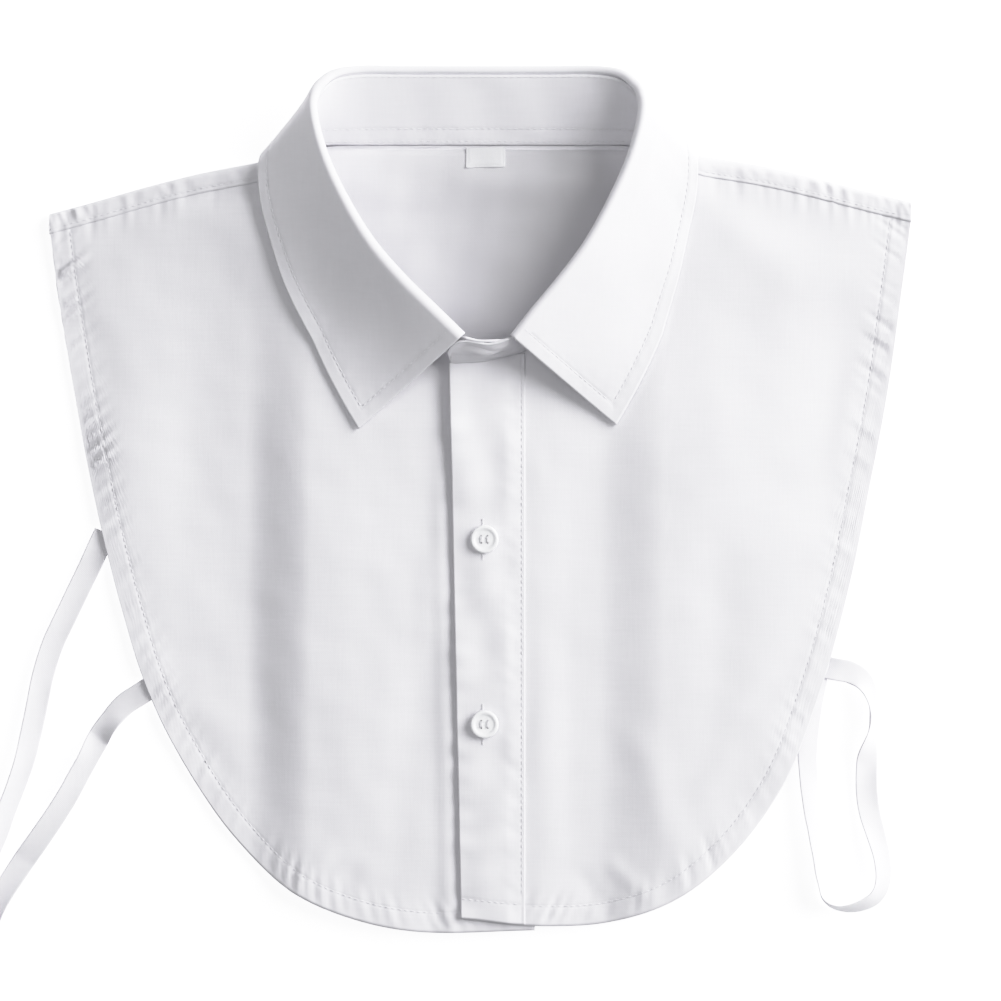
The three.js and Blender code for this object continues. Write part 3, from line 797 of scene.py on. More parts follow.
CREASES_LEFT_FRONT = [
    ((94, 136), (150, 112), 10.0, -1.1, 5.0),
    ((100, 120), (160, 88), 12.0, 0.7, 6.0),
    ((128, 104), (132, 10), 12.0, 0.6, 4.0),
    ((150, 96), (146, -20), 10.0, -0.5, -4.0),
    ((160, 60), (150, 2), 6.0, 0.6, 2.0),
    ((40, 44), (36, -60), 9.0, 0.6, 3.0),
    ((24, 50), (30, 8), 6.0, -0.5, 2.0),
    ((30, -60), (34, -168), 8.0, 0.5, 2.0),
    ((62, -96), (84, -158), 8.0, 0.7, -3.0),
    ((100, -20), (92, -110), 11.0, -0.6, -4.0),
    ((120, -84), (92, -132), 7.0, 0.6, 3.0),
    ((136, -66), (104, -104), 6.0, -0.6, 2.0),
    ((72, -168), (52, -150), 4.0, 0.7, 0.0),
    ((54, -174), (40, -154), 4.0, -0.5, 0.0),
    ((96, 70), (104, 10), 9.0, 0.4, 2.0),
]


def all_creases(x, y, table):
    return sum(crease(x, y, *row) for row in table)


# %% Make the two fronts
def front_relief(x, y, line, seed):
    """All the small relief of a front, and the distance to the row of stitching along its hem."""
    relief, seam, away = hem_relief(x, y, line, seed)
    shoulder = shoulder_relief(x, y, seed + 3)
    lap = ease(np.abs(x - 3), 12, 24)
    small = (0.26 * swell(x, y, 70, seed + 5) + 0.07 * swell(x, y, 22, seed + 6)) * ease(away, 2, 18) * lap
    return relief * mix(0.4, 1.0, lap) + shoulder + small, seam


def make_front(name, node, inner, outer, hem, line, height, creases, across, seed, columns=200, rows=200):
    x, y = front_grid(inner, outer, hem, columns, rows)
    relief, seam = front_relief(x, y, line, seed)
    x = across(x, y)
    z = height(x, y) + relief + all_creases(x, y, creases)
    floor_z = back_under(x, y) + CLOTH + 0.15 + THIN
    z = np.maximum(z, floor_z)
    face = np.stack([x, y, z], axis=-1)
    piece = shell(name, face, THIN, {"seam_mm": seam}, facing=(0, 0, 1))
    dress(piece, SHIRT)
    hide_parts(node)
    return piece


def under_lap(x, y):
    """The lower front dips away from the buttoned edge that lies over it."""
    dip = 0.7 * ease(y, -20, 50) * np.exp(-(((x - PLACKET_EDGE_X) / 9) ** 2))
    filled = 0.85 * (1 - ease(y, -10, 40)) * np.exp(-(((x - drifted(PLACKET_EDGE_X - 5.0, y)) / 3.4) ** 2))
    return front_top(x, y) - dip + filled


def lapped(x, y):
    return over_top(x, y) + edge_lift(x, y)


right_front = make_front(
    "right_front", "front_right", UNDER_FRONT_X, -HALF_WIDTH, hem_left, HEM_LINES["left"], under_lap,
    CREASES_RIGHT_FRONT, lambda x, y: x, seed=SEEDS["left"],
)
left_front = make_front(
    "left_front", "front_left", PLACKET_EDGE_X, HALF_WIDTH, hem_right, HEM_LINES["right"], lapped,
    CREASES_LEFT_FRONT, drifted, seed=SEEDS["right"],
)


# %% [markdown]
# ## The back
#
# The back lies face down on the table. It shows inside the neck, and again as a narrow band where it turns
# over the folded shoulders to meet the fronts at the seam. That band rides on the fronts' own relief, with
# puckers of its own. Inside the neck the cloth is toned down, more towards the right. That is a shade
# painted in, because the lamps alone leave the neck too light. It isn't a change in the cloth.

# %% Make the back
def make_back(columns=240, flat_rows=110, turn_rows=14):
    x = HALF_WIDTH * np.sin((np.linspace(0, 1, columns) - 0.5) * math.pi)
    half = np.abs(x)
    side = np.where(x < 0, -1.0, 1.0)
    hem = np.maximum(hem_left(np.minimum(x, 24)), np.where(x > 20, hem_right(x), -1e9)) + 1.2
    turn = np.maximum(ease(half, 66, 80), 0.12)
    forward = SEAM_FORWARD * ease(half, 74, 84)
    y_ridge = ridge(x) + 1.5 * (1 - ease(half, 60, 76))
    low = back_under(x, y_ridge)
    high = front_top(np.maximum(half, 79) * side, shoulder_seam(x)) + 0.32 * ease(half, 84, 94)
    bend = np.minimum(4, (high - low) / 2)
    v = np.linspace(0, 1, flat_rows) ** 0.8
    flat_y = mix(hem[:, None], (y_ridge - bend)[:, None], v[None, :])
    flat_x = np.broadcast_to(x[:, None], flat_y.shape)
    opening = (1 - ease(np.hypot(flat_x / 72, (flat_y - 112) / 52), 0.75, 1.1))
    rumple = (0.55 * swell(flat_x, flat_y, 52, 71, turn=0.5) + 0.2 * swell(flat_x, flat_y, 20, 72)) * opening
    banked = 6.4 * ease(flat_x, -40, 58) * ease(flat_y, 50, 84) * (1 - ease(flat_y, 132, 147))
    banked = banked * (1 - ease(flat_x, 62, 84))
    flat_z = back_under(flat_x, flat_y) + np.maximum(0, 0.7 * opening + rumple) + banked
    angle = -math.pi / 2 + math.pi * np.linspace(0, 1, turn_rows)[None, 1:] * turn[:, None]
    turned_y = (y_ridge - bend)[:, None] + bend[:, None] * np.cos(angle)
    turned_z = ((low + high) / 2)[:, None] + ((high - low) / 2)[:, None] * np.sin(angle)
    last = angle[:, -1]
    reach = mix(0.8, np.maximum(0.8, forward - bend + 1.6 * ease(half, 84, 94)), ease(turn, 0.5, 1))
    ends = np.linspace(0, 1, 6)[1:]
    end_y = turned_y[:, -1:] - (np.sin(last) * reach)[:, None] * ends[None, :]
    end_z = turned_z[:, -1:] + (np.cos(last) * reach)[:, None] * ends[None, :]
    y = np.hstack([flat_y, turned_y, end_y])
    z = np.hstack([flat_z, turned_z, end_z])
    on_top = np.hstack([np.zeros_like(flat_y), ease(angle, 0, 1.2), np.ones_like(end_y)])
    wide_x = np.broadcast_to(x[:, None], y.shape)
    strength = 0.8 + 0.5 * shiver(wide_x, 40, 33)
    fine = 0.30 * shiver(wide_x + 0.4 * y, 5.2, 34) + 0.18 * shiver(wide_x - 0.3 * y, 9, 35)
    free_edge = 1 - ease(np.abs(y - shoulder_seam(wide_x)), 0.8, 3)
    fine = fine * strength * (1 - free_edge) * ease(np.abs(wide_x), 84, 96)

    def front_below(creases, edge):
        relief, _ = front_relief(wide_x, y, HEM_LINES[edge], SEEDS[edge])
        return all_creases(wide_x, y, creases) + relief

    below = np.where(
        wide_x < 0, front_below(CREASES_RIGHT_FRONT, "left"), front_below(CREASES_LEFT_FRONT, "right")
    )
    z = z + on_top * (fine + below)
    seam = np.where(on_top > 0.5, np.abs(y - shoulder_seam(wide_x) - 0.4), 20)
    # Painted shade inside the neck: how much the colour is greyed, light on the left and most towards the
    # right.
    painted_shade_share = opening * mix(0.2, 1.0, ease(flat_x, -62, 34))
    painted_neck_shade = np.hstack([painted_shade_share, np.zeros_like(turned_y), np.zeros_like(end_y)])
    marks = {"seam_mm": seam, "painted_neck_shade": painted_neck_shade}
    piece = shell("back", np.stack([wide_x, y, z], axis=-1), 0.6, marks, facing=(0, 0, -1))
    dress(piece, SHIRT)
    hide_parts("back_panel")
    return piece


back = make_back()


# %% [markdown]
# ## The collar
#
# The leaf starts inside the neck, goes over the bend and falls to its free edge. The stand reaches from the
# neck seam up to the bend. Both are lofted from the same stations, so they never meet. An interlined collar
# is stiffer than the fronts: it holds a smooth roll, and its stitched edge is a little thicker.

# %% Collar shapes
LEAF_STITCH = 6.0


def leaf_rows(station, roll, belly, rounded):
    start = bend_point(station, 1.0, roll)
    top = bend_point(station, -1.0, roll)
    to_seam = unit(station["seam"] - top)
    behind = unit(np.cross(station["along"], to_seam))
    behind *= np.sign(np.sum(behind * (start - top), axis=1, keepdims=True))
    leg = [top + to_seam * down + behind * back for down, back in ((3.4, 1.35), (1.7, 1.35), (0.7, 0.5))]
    bend = [bend_point(station, u, roll) for u in np.linspace(-1, 1, 17)]
    fall = []
    for v in np.linspace(0, 1, 52)[1:]:
        p = mix(start, station["edge"], v)
        steep = (1 - v) ** (station["drop"] + belly)
        held = mix(steep, 1 - ease(v**0.62, 0, 1), rounded)
        p[:, 2] = np.maximum(0, mix(station["edge"][:, 2], start[:, 2], held))
        fall.append(p)
    return np.stack([*leg, *bend, *fall], axis=1)


def make_leaf(stations=420):
    t = np.linspace(-1, 1, stations)
    station = neck_station(t)
    front = ease(np.abs(t), 0.55, 0.95)
    roll = (2.2 + np.where(t < 0, 0.8, -0.28) * front)[:, None]
    belly = np.where(t < 0, 1.5, 0.75) * front
    rounded = np.where(t < 0, 0.6, 0.0) * front
    face = leaf_rows(station, roll, belly, rounded)
    edge_line, left_line, right_line = face[:, -1], face[0, 19:], face[-1, 19:]
    edge_away = np.linalg.norm(face - edge_line[:, None, :], axis=-1)
    front_away = np.minimum(far_in_space(face, left_line), far_in_space(face, right_line))
    inward = np.minimum(edge_away, front_away)
    x, y = face[..., 0], face[..., 1]
    normal = unit(np.cross(np.gradient(face, axis=0), np.gradient(face, axis=1)))
    normal *= np.sign(normal[int(stations * 0.9), 50, 2])
    on_fall = ease(np.arange(face.shape[1]), 21, 31)[None, :]
    relief = 0.09 * (1 - ease(inward, LEAF_STITCH - 1.0, LEAF_STITCH + 2.0))
    relief = relief - 0.08 * np.exp(-(((inward - LEAF_STITCH) / 0.9) ** 2))
    relief = relief + 0.30 * swell(x, y, 42, 91) * ease(inward, 0, 12)
    relief = relief + 0.05 * swell(x, y, 7, 92) * np.exp(-(((inward - LEAF_STITCH) / 4) ** 2))
    face = face + normal * (relief * on_fall)[..., None]
    face[..., 2] = np.maximum(face[..., 2], 0.02)
    seam = np.where(on_fall > 0.01, np.abs(inward - LEAF_STITCH), 20)
    piece = shell("leaf", face, COLLAR_CLOTH, {"seam_mm": seam}, facing=(0, 0, 1), at=(0.9, 0.8))
    dress(piece, COLLAR)
    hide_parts("collar_leaf")
    return piece, face, inward


def far_in_space(face, line):
    best = np.full(face.shape[:2], np.inf)
    for p in evenly(line, 90):
        best = np.minimum(best, np.linalg.norm(face - p, axis=-1))
    return best


leaf, leaf_face, leaf_inward = make_leaf()


# %% [markdown]
# The stand's ends run past the leaf at the front and button over each other. They are rounded, so their
# height shrinks on a superellipse as they reach forward. The upper one is pulled into a few slanted folds.

# %% Make the stand
STAND_ROWS = 26
STAND_ENDS = {
    # side: how far it reaches, and how its seam and its top wander in y along the way
    -1: {"reach": 25.0, "seam": [3.0, 3.0, 3.4, 4.6], "top": [0.0, -1.8, -1.4, 0.6], "full": 5.0},
    1: {"reach": 29.0, "seam": [0.0, -2.2, -4.0, -4.2], "top": [0.0, -2.8, -0.9, -2.4], "full": 9.0},
}


def stand_end(side, steps=34):
    facts = STAND_ENDS[side]
    last = neck_station(float(side))
    columns = []
    for share in np.linspace(0, 1, steps + 1)[1:] ** 0.85:
        height = math.sqrt(max(0.0, 1 - share ** facts["full"])) * 0.82 + 0.1
        x = -side * facts["reach"] * share
        wander = [float(through([[value] for value in facts[key]], share)[0, 0]) for key in ("seam", "top")]
        seam = last["seam"][0] + np.array([x, wander[0], 0])
        cloth_top = float(topmost(seam[0], seam[1]) + edge_lift(seam[0], seam[1]))
        seam[2] = max(seam[2], cloth_top + GAP + 0.5)
        top = last["fold"][0] + np.array([x, wander[1], -1.0 * share])
        column = np.array([mix(seam, top, v * height) for v in np.linspace(0, 1, STAND_ROWS)])
        v = np.linspace(0, 1, STAND_ROWS)
        folds = 0.7 * np.sin(2 * math.pi * (1.7 * v + 0.5 * share))
        folds = folds + 0.35 * np.sin(2 * math.pi * (3.1 * v - share))
        swelling = folds * np.sin(math.pi * v) * math.sin(math.pi * min(1.0, 1.25 * share)) * (side > 0)
        column[:, 1] -= 1.3 * swelling
        column[:, 2] += 1.5 * swelling
        columns.append(column)
    return np.array(columns)


def make_stand(stations=380):
    station = neck_station(np.linspace(-1, 1, stations))
    top = bend_point(station, -1.0)
    span = np.linalg.norm(top - station["seam"], axis=1, keepdims=True)
    ring = np.stack(
        [mix(station["seam"], top, v * (1 - STAND_SEAM / span)) for v in np.linspace(0, 1, STAND_ROWS)],
        axis=1,
    )
    face = np.concatenate([stand_end(-1)[::-1], ring, stand_end(1)])
    low = np.linalg.norm(face - face[:, :1], axis=-1)
    high = np.linalg.norm(face - face[:, -1:], axis=-1)
    normal = unit(np.cross(np.gradient(face, axis=0), np.gradient(face, axis=1)))
    normal *= np.sign(normal[face.shape[0] // 2, 12, 2])
    place = np.cumsum(np.linalg.norm(np.diff(face[:, 0], axis=0, prepend=face[:1, 0]), axis=1))[:, None]
    middle = ease(low, 0, 6) * ease(high, 0, 6)
    relief = 0.35 * shiver(place + 0.3 * low, 42, 55) * middle
    relief = relief + 0.10 * shiver(place, 9, 56) * np.exp(-low / 5)
    face = face + normal * relief[..., None]
    seam = np.minimum(np.minimum(np.abs(low - 1.7), np.abs(low - 7.1)), np.abs(high - 0.9))
    piece = shell("stand", face, COLLAR_CLOTH, {"seam_mm": seam}, facing=(0, 0, 1), at=(0.5, 0.5))
    dress(piece, COLLAR)
    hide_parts("collar_stand")
    return piece, face


stand, stand_face = make_stand()


# %% [markdown]
# ## Placket and label
#
# The placket is a band folded out of the front's own edge and stitched down its inner side. It lies on the
# front, so it is the front's own height moved up, with small puckers. The label is a short woven tape caught
# in the neck seam.

# %% Make the placket
PLACKET_WALL = 0.3


def make_placket(columns=44, rows=260):
    column = np.linspace(PLACKET_EDGE_X, PLACKET_INNER_X, columns)
    v = np.linspace(0, 1, rows)
    bottom = hem_right(column) + 0.4
    top = float(NECK_EDGE(14)) - 3.4
    y = mix(bottom[:, None], top, v[None, :])
    x = drifted(np.broadcast_to(column[:, None], y.shape), y)
    across = np.broadcast_to(column[:, None], y.shape) - PLACKET_EDGE_X
    to_seam = PLACKET_INNER_X - PLACKET_EDGE_X - across
    full = ease(to_seam, 0, 9) * ease(top - y, 1, 7)
    pucker = 0.20 * shiver(y + 0.5 * across, 9, 41) * np.exp(-((to_seam / 7) ** 2)) * ease(to_seam, 0, 2)
    pucker = pucker + 0.20 * shiver(y, 14, 42) * np.exp(-((across / 6) ** 2))
    mottle = 0.30 * swell(x, y, 17, 43) + 0.18 * swell(x, y, 34, 44)
    z = over_top(x, y) + edge_lift(x, y) + PLACKET_WALL + 0.05 + full * (0.75 + mottle) + pucker * full
    z = z + all_creases(x, y, CREASES_LEFT_FRONT)
    bottom_away = y - bottom[:, None]
    seam = np.minimum(np.abs(to_seam - 1.4), np.abs(bottom_away - HEM))
    face = np.stack([x, y, z], axis=-1)
    piece = shell("placket_band", face, PLACKET_WALL, {"seam_mm": seam}, facing=(0, 0, 1))
    dress(piece, SHIRT)
    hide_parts("placket")
    return piece


placket = make_placket()

# %% Make the label
LABEL = {"x": 2.3, "width": 16.4, "top": 147.6, "length": 8.4}


def make_label(columns=40, rows=26):
    a = np.linspace(-0.5, 0.5, columns)[:, None]
    v = np.linspace(0, 1, rows)[None, :]
    x = LABEL["x"] + LABEL["width"] * a + 0 * v
    y = LABEL["top"] - LABEL["length"] * v + 0.5 * a
    curl = 1.3 * v**2 + 0.25 * np.sin(a * 7) * v
    z = back_under(x, y) + 2.0 + curl
    edge = np.minimum((0.5 - np.abs(a)) * LABEL["width"] + 0 * v, (1 - v) * LABEL["length"] + 0 * a)
    face = np.stack([x, y, z], axis=-1)
    piece = shell("label_bare", face, 0.5, {"seam_mm": np.abs(edge - 0.6)}, facing=(0, 0, 1))
    dress(piece, LABEL_CLOTH)
    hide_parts("label")
    return piece


label = make_label()


# %% [markdown]
# ## Flat cuts
#
# Every piece of cloth is a sheet cut flat before it was sewn. The two collar pieces are folded or bent round
# the neck, and the rest are laid one on another.

# %% [markdown]
# ## Buttons
#
# A shirt button is a turned disc with a raised rim and a dished middle. Spinning one profile gives the disc,
# and four holes are cut through the dish. The imported button has the same sizes, but few sides, so this one
# stands for it. Thread goes down through the holes in two bars and holds the button to the cloth.

# %% Make the buttons
BUTTON_PROFILE = [
    # radius, height
    (0, 0), (4.9, 0), (5.6, 0.25), (5.9, 0.8), (5.9, 1.4), (5.65, 1.85), (5.2, 2.0), (4.7, 1.98),
    (4.25, 1.8), (3.85, 1.58), (3.3, 1.5), (0, 1.5),
]
HOLE_SPREAD = 1.35
HOLE_RADIUS = 0.5


def pearl_material():
    material = bpy.data.materials.new("button_pearl")
    material.use_nodes = True
    tree = material.node_tree
    shader = tree.nodes["Principled BSDF"]
    where = tree.nodes.new("ShaderNodeTexCoord").outputs["Object"]
    cloud = stretched_noise(tree, where, (210.0, 420.0, 210.0), 3.0, 0.55)
    tone = tree.nodes.new("ShaderNodeMix")
    tone.data_type = "RGBA"
    tone.inputs["A"].default_value = (0.86, 0.865, 0.885, 1)
    tone.inputs["B"].default_value = (0.93, 0.93, 0.945, 1)
    tree.links.new(cloud, tone.inputs["Factor"])
    tree.links.new(tone.outputs["Result"], shader.inputs["Base Color"])
    rough = tree.nodes.new("ShaderNodeMapRange")
    tree.links.new(cloud, rough.inputs["Value"])
    socket(rough, "To Min", 0.34)
    socket(rough, "To Max", 0.2)
    tree.links.new(rough.outputs["Result"], shader.inputs["Roughness"])
    socket(shader, "Subsurface Weight", 0.6)
    socket(shader, "Subsurface Radius", (0.003, 0.003, 0.003))
    socket(shader, "Coat Weight", 0.2)
    socket(shader, "Coat Roughness", 0.12)
    return material


PEARL = pearl_material()


def make_button(name, node):
    low, high = (Vector(corner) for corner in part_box(node))
    middle = (low + high) / 2
    bm = bmesh.new()
    points = [bm.verts.new((r * MM, 0, z * MM)) for r, z in BUTTON_PROFILE]
    edges = [bm.edges.new(pair) for pair in zip(points, points[1:])]
    bmesh.ops.spin(
        bm, geom=points + edges, cent=(0, 0, 0), axis=(0, 0, 1), dvec=(0, 0, 0),
        angle=2 * math.pi, steps=56, use_merge=True, use_duplicate=False,
    )
    bmesh.ops.remove_doubles(bm, verts=bm.verts, dist=0.00001)
    bmesh.ops.recalc_face_normals(bm, faces=bm.faces)
    bmesh.ops.translate(bm, vec=(middle.x, middle.y, low.z), verts=bm.verts)
    mesh = bpy.data.meshes.new(name)
    bm.to_mesh(mesh)
    bm.free()
    piece = new_object(name, mesh)
    drill = bmesh.new()
    for sx in (-1, 1):
        for sy in (-1, 1):
            hole = (middle.x + sx * HOLE_SPREAD * MM, middle.y + sy * HOLE_SPREAD * MM, low.z)
            place = Matrix.Translation(hole)
            bmesh.ops.create_cone(
                drill, cap_ends=True, segments=20, radius1=HOLE_RADIUS * MM, radius2=HOLE_RADIUS * MM,
                depth=8 * MM, matrix=place,
            )
    drill_mesh = bpy.data.meshes.new("drill")
    drill.to_mesh(drill_mesh)
    drill.free()
    drill_object = new_object("drill", drill_mesh)
    cut = piece.modifiers.new("holes", "BOOLEAN")
    cut.operation = "DIFFERENCE"
    cut.solver = "EXACT"
    cut.object = drill_object
    shape = bpy.data.meshes.new_from_object(piece.evaluated_get(bpy.context.evaluated_depsgraph_get()))
    piece.modifiers.clear()
    piece.data = shape
    bpy.data.objects.remove(drill_object)
    shape.shade_smooth()
    shape.set_sharp_from_angle(angle=math.radians(50))
    dress(piece, PEARL)
    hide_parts(node)
    return middle * (1 / MM), low.z / MM


BUTTONS = [make_button("pearl_" + node, node) for node in ("button_upper", "button_lower")]

# %% [markdown]
# ## Stitches
#
# Topstitching is what makes sewn cloth look sewn. Each stitch is a tiny low-polygon grain of thread lying
# along its row with a gap to the next one. There are hundreds, so all the stitches of a row are one mesh
# and each grain has only a few dozen faces. Rows on flat panels are dropped onto the cloth from above with
# a ray, so that they always lie on its surface.

# %% Sewing helpers
PITCH = 2.7
STITCH = 1.9
STRAND = 0.34


def grain_of_thread():
    """One stitch as the operator makes it, 2 long and 2 thick, as points and faces to be repeated."""
    bm = bmesh.new()
    bmesh.ops.create_uvsphere(bm, u_segments=6, v_segments=4, radius=1.0)
    points = np.array([vert.co[:] for vert in bm.verts])
    faces = [[vert.index for vert in face.verts] for face in bm.faces]
    bm.free()
    return points, faces


GRAIN, GRAIN_FACES = grain_of_thread()


def sew(row, points, ups, pitch=PITCH, length=STITCH, strand=STRAND, sink=0.02):
    """Add stitches along a line of points, with the cloth's direction at each, to a row. All in mm."""
    points, ups = np.asarray(points, dtype=float), np.asarray(ups, dtype=float)
    travelled = np.concatenate([[0], np.cumsum(np.linalg.norm(np.diff(points, axis=0), axis=1))])
    at = (np.arange(int(travelled[-1] / pitch)) + 0.5) * pitch

    def read(table, where):
        return np.column_stack([np.interp(where, travelled, table[:, c]) for c in range(3)])

    start, end = read(points, at - length / 2), read(points, at + length / 2)
    along = unit(end - start)
    side = unit(np.cross(read(ups, at), along))
    up = np.cross(along, side)
    middle = (start + end) / 2 + up * (strand / 2 - sink)
    for m, s_, u, a in zip(middle, side, up, along):
        row.append(m + GRAIN @ np.array([s_ * strand / 2, u * strand * 0.35, a * length / 2]))


def finish_stitches(name, row):
    count = len(GRAIN)
    faces = [[index + k * count for index in face] for k in range(len(row)) for face in GRAIN_FACES]
    mesh = bpy.data.meshes.new(name)
    mesh.from_pydata((np.vstack(row) * MM).tolist(), [], faces)
    mesh.shade_smooth()
    piece = new_object(name, mesh)
    dress(piece, THREAD)
    print(name, len(row), "stitches")
    return piece


def drop_on(piece, xy, from_height=60.0):
    """Where points in mm, dropped from above, land on a piece, and which way its cloth faces there."""
    graph = bpy.context.evaluated_depsgraph_get()
    shape = piece.evaluated_get(graph)
    landed, ups = [], []
    for x, y in xy:
        hit, where, normal, _ = shape.ray_cast(Vector((x, y, from_height)) * MM, Vector((0, 0, -1)))
        if hit and normal.z > 0.2:
            landed.append(where / MM)
            ups.append(normal)
    return np.array(landed), np.array(ups)


def inset(line, away, towards):
    """A line moved sideways by a distance, to the side that the point towards is on."""
    line = evenly(line, 420)
    onward = unit(np.gradient(line, axis=0))
    sideways = np.column_stack([-onward[:, 1], onward[:, 0]])
    if np.mean((np.array(towards) - line) * sideways) < 0:
        sideways = -sideways
    return line + sideways * away


# %% Stitch the fronts, placket and back
rows = []
hem_rows = [
    (right_front, HEM_LINES["left"], lambda p: p[0] < PLACKET_EDGE_X - 1),
    (left_front, HEM_LINES["right"], lambda p: p[0] > PLACKET_INNER_X),
]
for piece, line, keep in hem_rows:
    walk = [p for p in inset(line, HEM, (0, 40)) if keep(p) and p[1] < shoulder_seam(np.array(p[0])) - 2]
    sew(rows, *drop_on(piece, walk))
for side in (-1, 1):
    x = side * np.linspace(94, 176, 120)
    sew(rows, *drop_on(back, zip(x, shoulder_seam(x) + 0.4)))
y = np.linspace(56, -168, 260)
inner = drifted(np.full_like(y, PLACKET_INNER_X - 1.4), y)
sew(rows, *drop_on(placket, zip(inner, y)))
x = np.linspace(PLACKET_EDGE_X + 5, PLACKET_INNER_X - 1, 30)
sew(rows, *drop_on(placket, zip(x, hem_right(x) + HEM + 0.4)))
finish_stitches("shirt_stitches", rows)

# %% Stitch the collar
def row_at(face, measure, value, columns, backwards=False):
    """The points of a face where a measure that grows along each column reaches a value."""
    points = []
    for i in columns:
        order = slice(None, None, -1) if backwards else slice(None)
        m, p = measure[i][order], face[i][order]
        keep = m < value + 12
        points.append([float(np.interp(value, m[keep], p[keep][:, c])) for c in range(3)])
    return np.array(points)


def sides_of(points, away_from):
    """Which way the cloth faces along a row of points: square to the row, and away from a second row."""
    onward = unit(np.gradient(points, axis=0))
    across = unit(points - away_from)
    return unit(np.cross(onward, across))


def facing_up(ups, sign_at):
    return ups if ups[sign_at][2] > 0 else -ups


collar_rows = []
edge_away = np.linalg.norm(leaf_face - leaf_face[:, -1:], axis=-1)
count = leaf_face.shape[0]
keep = [i for i in range(0, count) if leaf_inward[i, -12] > 0]
outer_row = row_at(leaf_face, edge_away, LEAF_STITCH, keep, backwards=True)
ups = facing_up(sides_of(outer_row, leaf_face[keep, -1]), int(len(keep) * 0.9))
ends = [np.linalg.norm(leaf_face[k, 19:][None] - outer_row[:, None], axis=-1).min(axis=1) for k in (0, -1)]
inside = np.minimum(*ends) > LEAF_STITCH - 0.5
sew(collar_rows, outer_row[inside], ups[inside])
for end in (0, -1):
    sweep = leaf_face[:60] if end == 0 else leaf_face[::-1][:60]
    fall = sweep[:, 19:-1].transpose(1, 0, 2)
    away = np.linalg.norm(fall[:, :, None] - leaf_face[end, 19:][None, None, ::2], axis=-1).min(axis=2)
    front_row = row_at(fall, away, LEAF_STITCH, range(fall.shape[0]))
    reach = np.linalg.norm(front_row[:, None] - leaf_face[None, :, -1], axis=-1).min(axis=1)
    front_row = front_row[reach > LEAF_STITCH - 0.3]
    ups = sides_of(front_row, front_row + np.array([1.0 if end == 0 else -1.0, 0.6, 0.0]))
    sew(collar_rows, front_row, facing_up(ups, len(ups) // 2))

ring = slice(34, stand_face.shape[0] - 34)
ring_face = stand_face[ring]
low = np.linalg.norm(ring_face - ring_face[:, :1], axis=-1)
high = np.linalg.norm(ring_face - ring_face[:, -1:], axis=-1)
for measure, value, backwards in ((low, 1.7, False), (low, 7.1, False), (high, 0.9, True)):
    row = row_at(ring_face, measure, value, range(ring_face.shape[0]), backwards)
    ups = facing_up(sides_of(row, ring_face[:, 0]), len(row) // 2)
    sew(collar_rows, row, ups)
finish_stitches("collar_stitches", collar_rows)

# %% [markdown]
# A buttonhole runs up and down the placket, longer than the button, so its ends show above and below. It is
# edged with satin stitches: short bars laid side by side. The thread through the button is four bars.

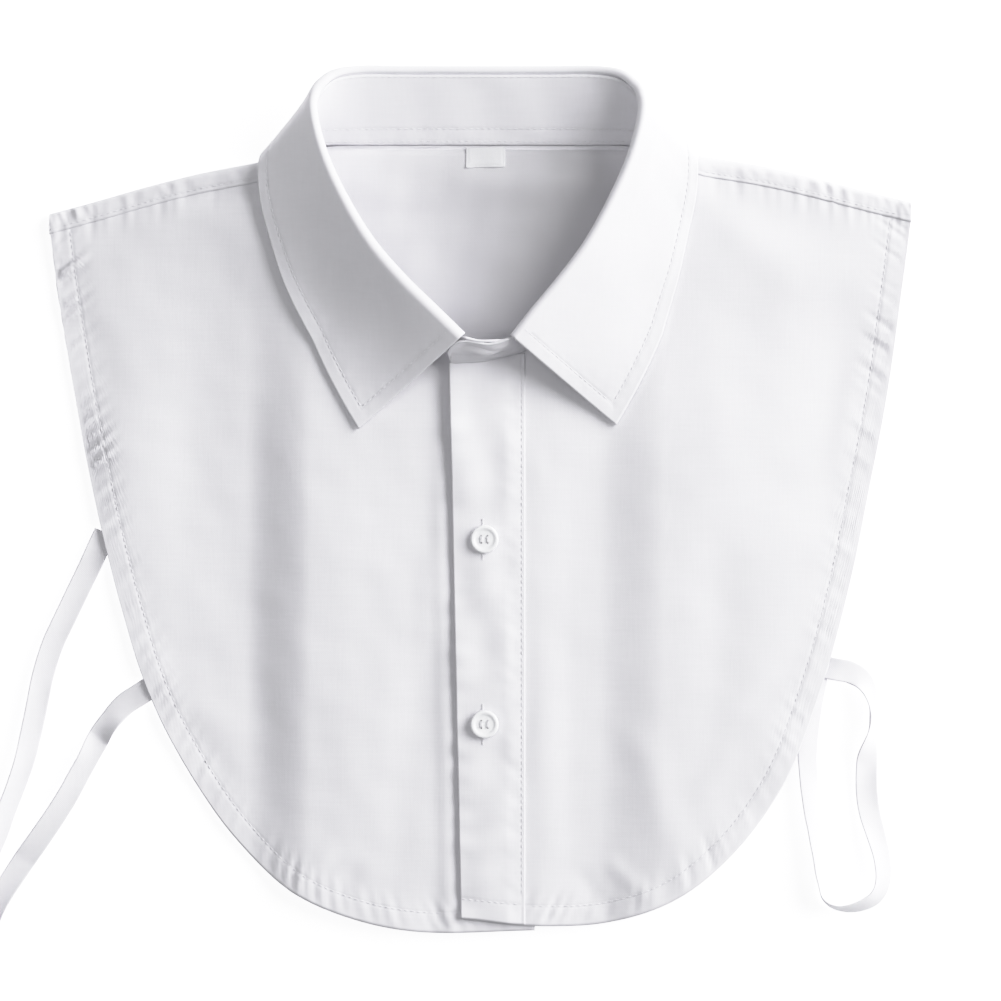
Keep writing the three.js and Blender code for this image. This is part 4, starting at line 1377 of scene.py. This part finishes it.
# %% Buttonholes and button thread
BUTTONHOLE = 17.0
fine = []
for middle, bottom in BUTTONS:
    y = np.arange(-BUTTONHOLE / 2, BUTTONHOLE / 2, 0.42) + middle.y
    for side in (-1, 1):
        landed, ups = drop_on(placket, [(middle.x + side * 0.75, value) for value in y])
        for p, up in zip(landed, ups):
            bar = [p - np.array([0.55, 0, 0]), p + np.array([0.55, 0, 0])]
            sew(fine, bar, [up, up], pitch=1.1, length=1.1, strand=0.4)
    for end in (-1, 1):
        bars = [(middle.x, middle.y + end * (BUTTONHOLE / 2 - k * 0.4)) for k in range(3)]
        landed, ups = drop_on(placket, bars)
        for p, up in zip(landed, ups):
            sew(fine, [p - np.array([1.3, 0, 0]), p + np.array([1.3, 0, 0])], [up, up], 2.6, 2.6, 0.45)
    for sx in (-1, 1):
        for shift in (-0.25, 0.2):
            x = middle.x + sx * HOLE_SPREAD + shift
            half = HOLE_SPREAD + 0.4
            bar = [(x, middle.y + way * half, bottom + 1.62) for way in (-1, 1)]
            sew(fine, bar, [(0, 0, 1), (0, 0, 1)], 3.5, 3.5, 0.5)
finish_stitches("button_thread", fine)


# %% [markdown]
# ## Light and floor
#
# White cloth shows its shape only by soft shade, so the main light is one broad lamp, low on the right, and
# a wide fill from above and a pale sky keep the shade from going dark. The floor is a plain white table.

# %% Floor, lamps and sky
def plain_material(name, colour, roughness, glow=0.0):
    material = bpy.data.materials.new(name)
    material.use_nodes = True
    shader = material.node_tree.nodes["Principled BSDF"]
    socket(shader, "Base Color", (*colour, 1))
    socket(shader, "Roughness", roughness)
    socket(shader, "Specular IOR Level", 0.2)
    socket(shader, "Emission Color", (1, 1, 1, 1))
    socket(shader, "Emission Strength", glow)
    return material


FLOOR_SIZE = 4.0
bm = bmesh.new()
bmesh.ops.create_grid(bm, x_segments=8, y_segments=8, size=FLOOR_SIZE / 2)
bmesh.ops.translate(bm, vec=(0, 0, -0.0004), verts=bm.verts)
floor_mesh = bpy.data.meshes.new("table_top")
bm.to_mesh(floor_mesh)
bm.free()
table = new_object("table_top", floor_mesh)
table.data.materials.append(plain_material("table_white", (0.92, 0.92, 0.93), 0.7, glow=0.85))


def lamp(name, azimuth, elevation, distance, size, watts):
    data = bpy.data.lights.new(name, "AREA")
    data.shape = "DISK"
    data.size = size
    data.energy = watts
    made = bpy.data.objects.new(name, data)
    a, e = math.radians(azimuth), math.radians(elevation)
    place = Vector((math.cos(a) * math.cos(e), math.sin(a) * math.cos(e), math.sin(e))) * distance
    made.location = place
    made.rotation_euler = place.to_track_quat("Z", "Y").to_euler()
    made.visible_camera = False
    bpy.context.scene.collection.objects.link(made)
    return made


lamp("window", 23, 28, 2.4, 2.3, 100)
lamp("fill", 170, 74, 2.9, 2.2, 18)
sky = bpy.data.worlds.new("studio")
sky.use_nodes = True
sky.node_tree.nodes["Background"].inputs["Color"].default_value = (0.97, 0.98, 1.0, 1)
sky.node_tree.nodes["Background"].inputs["Strength"].default_value = 0.22
bpy.context.scene.world = sky
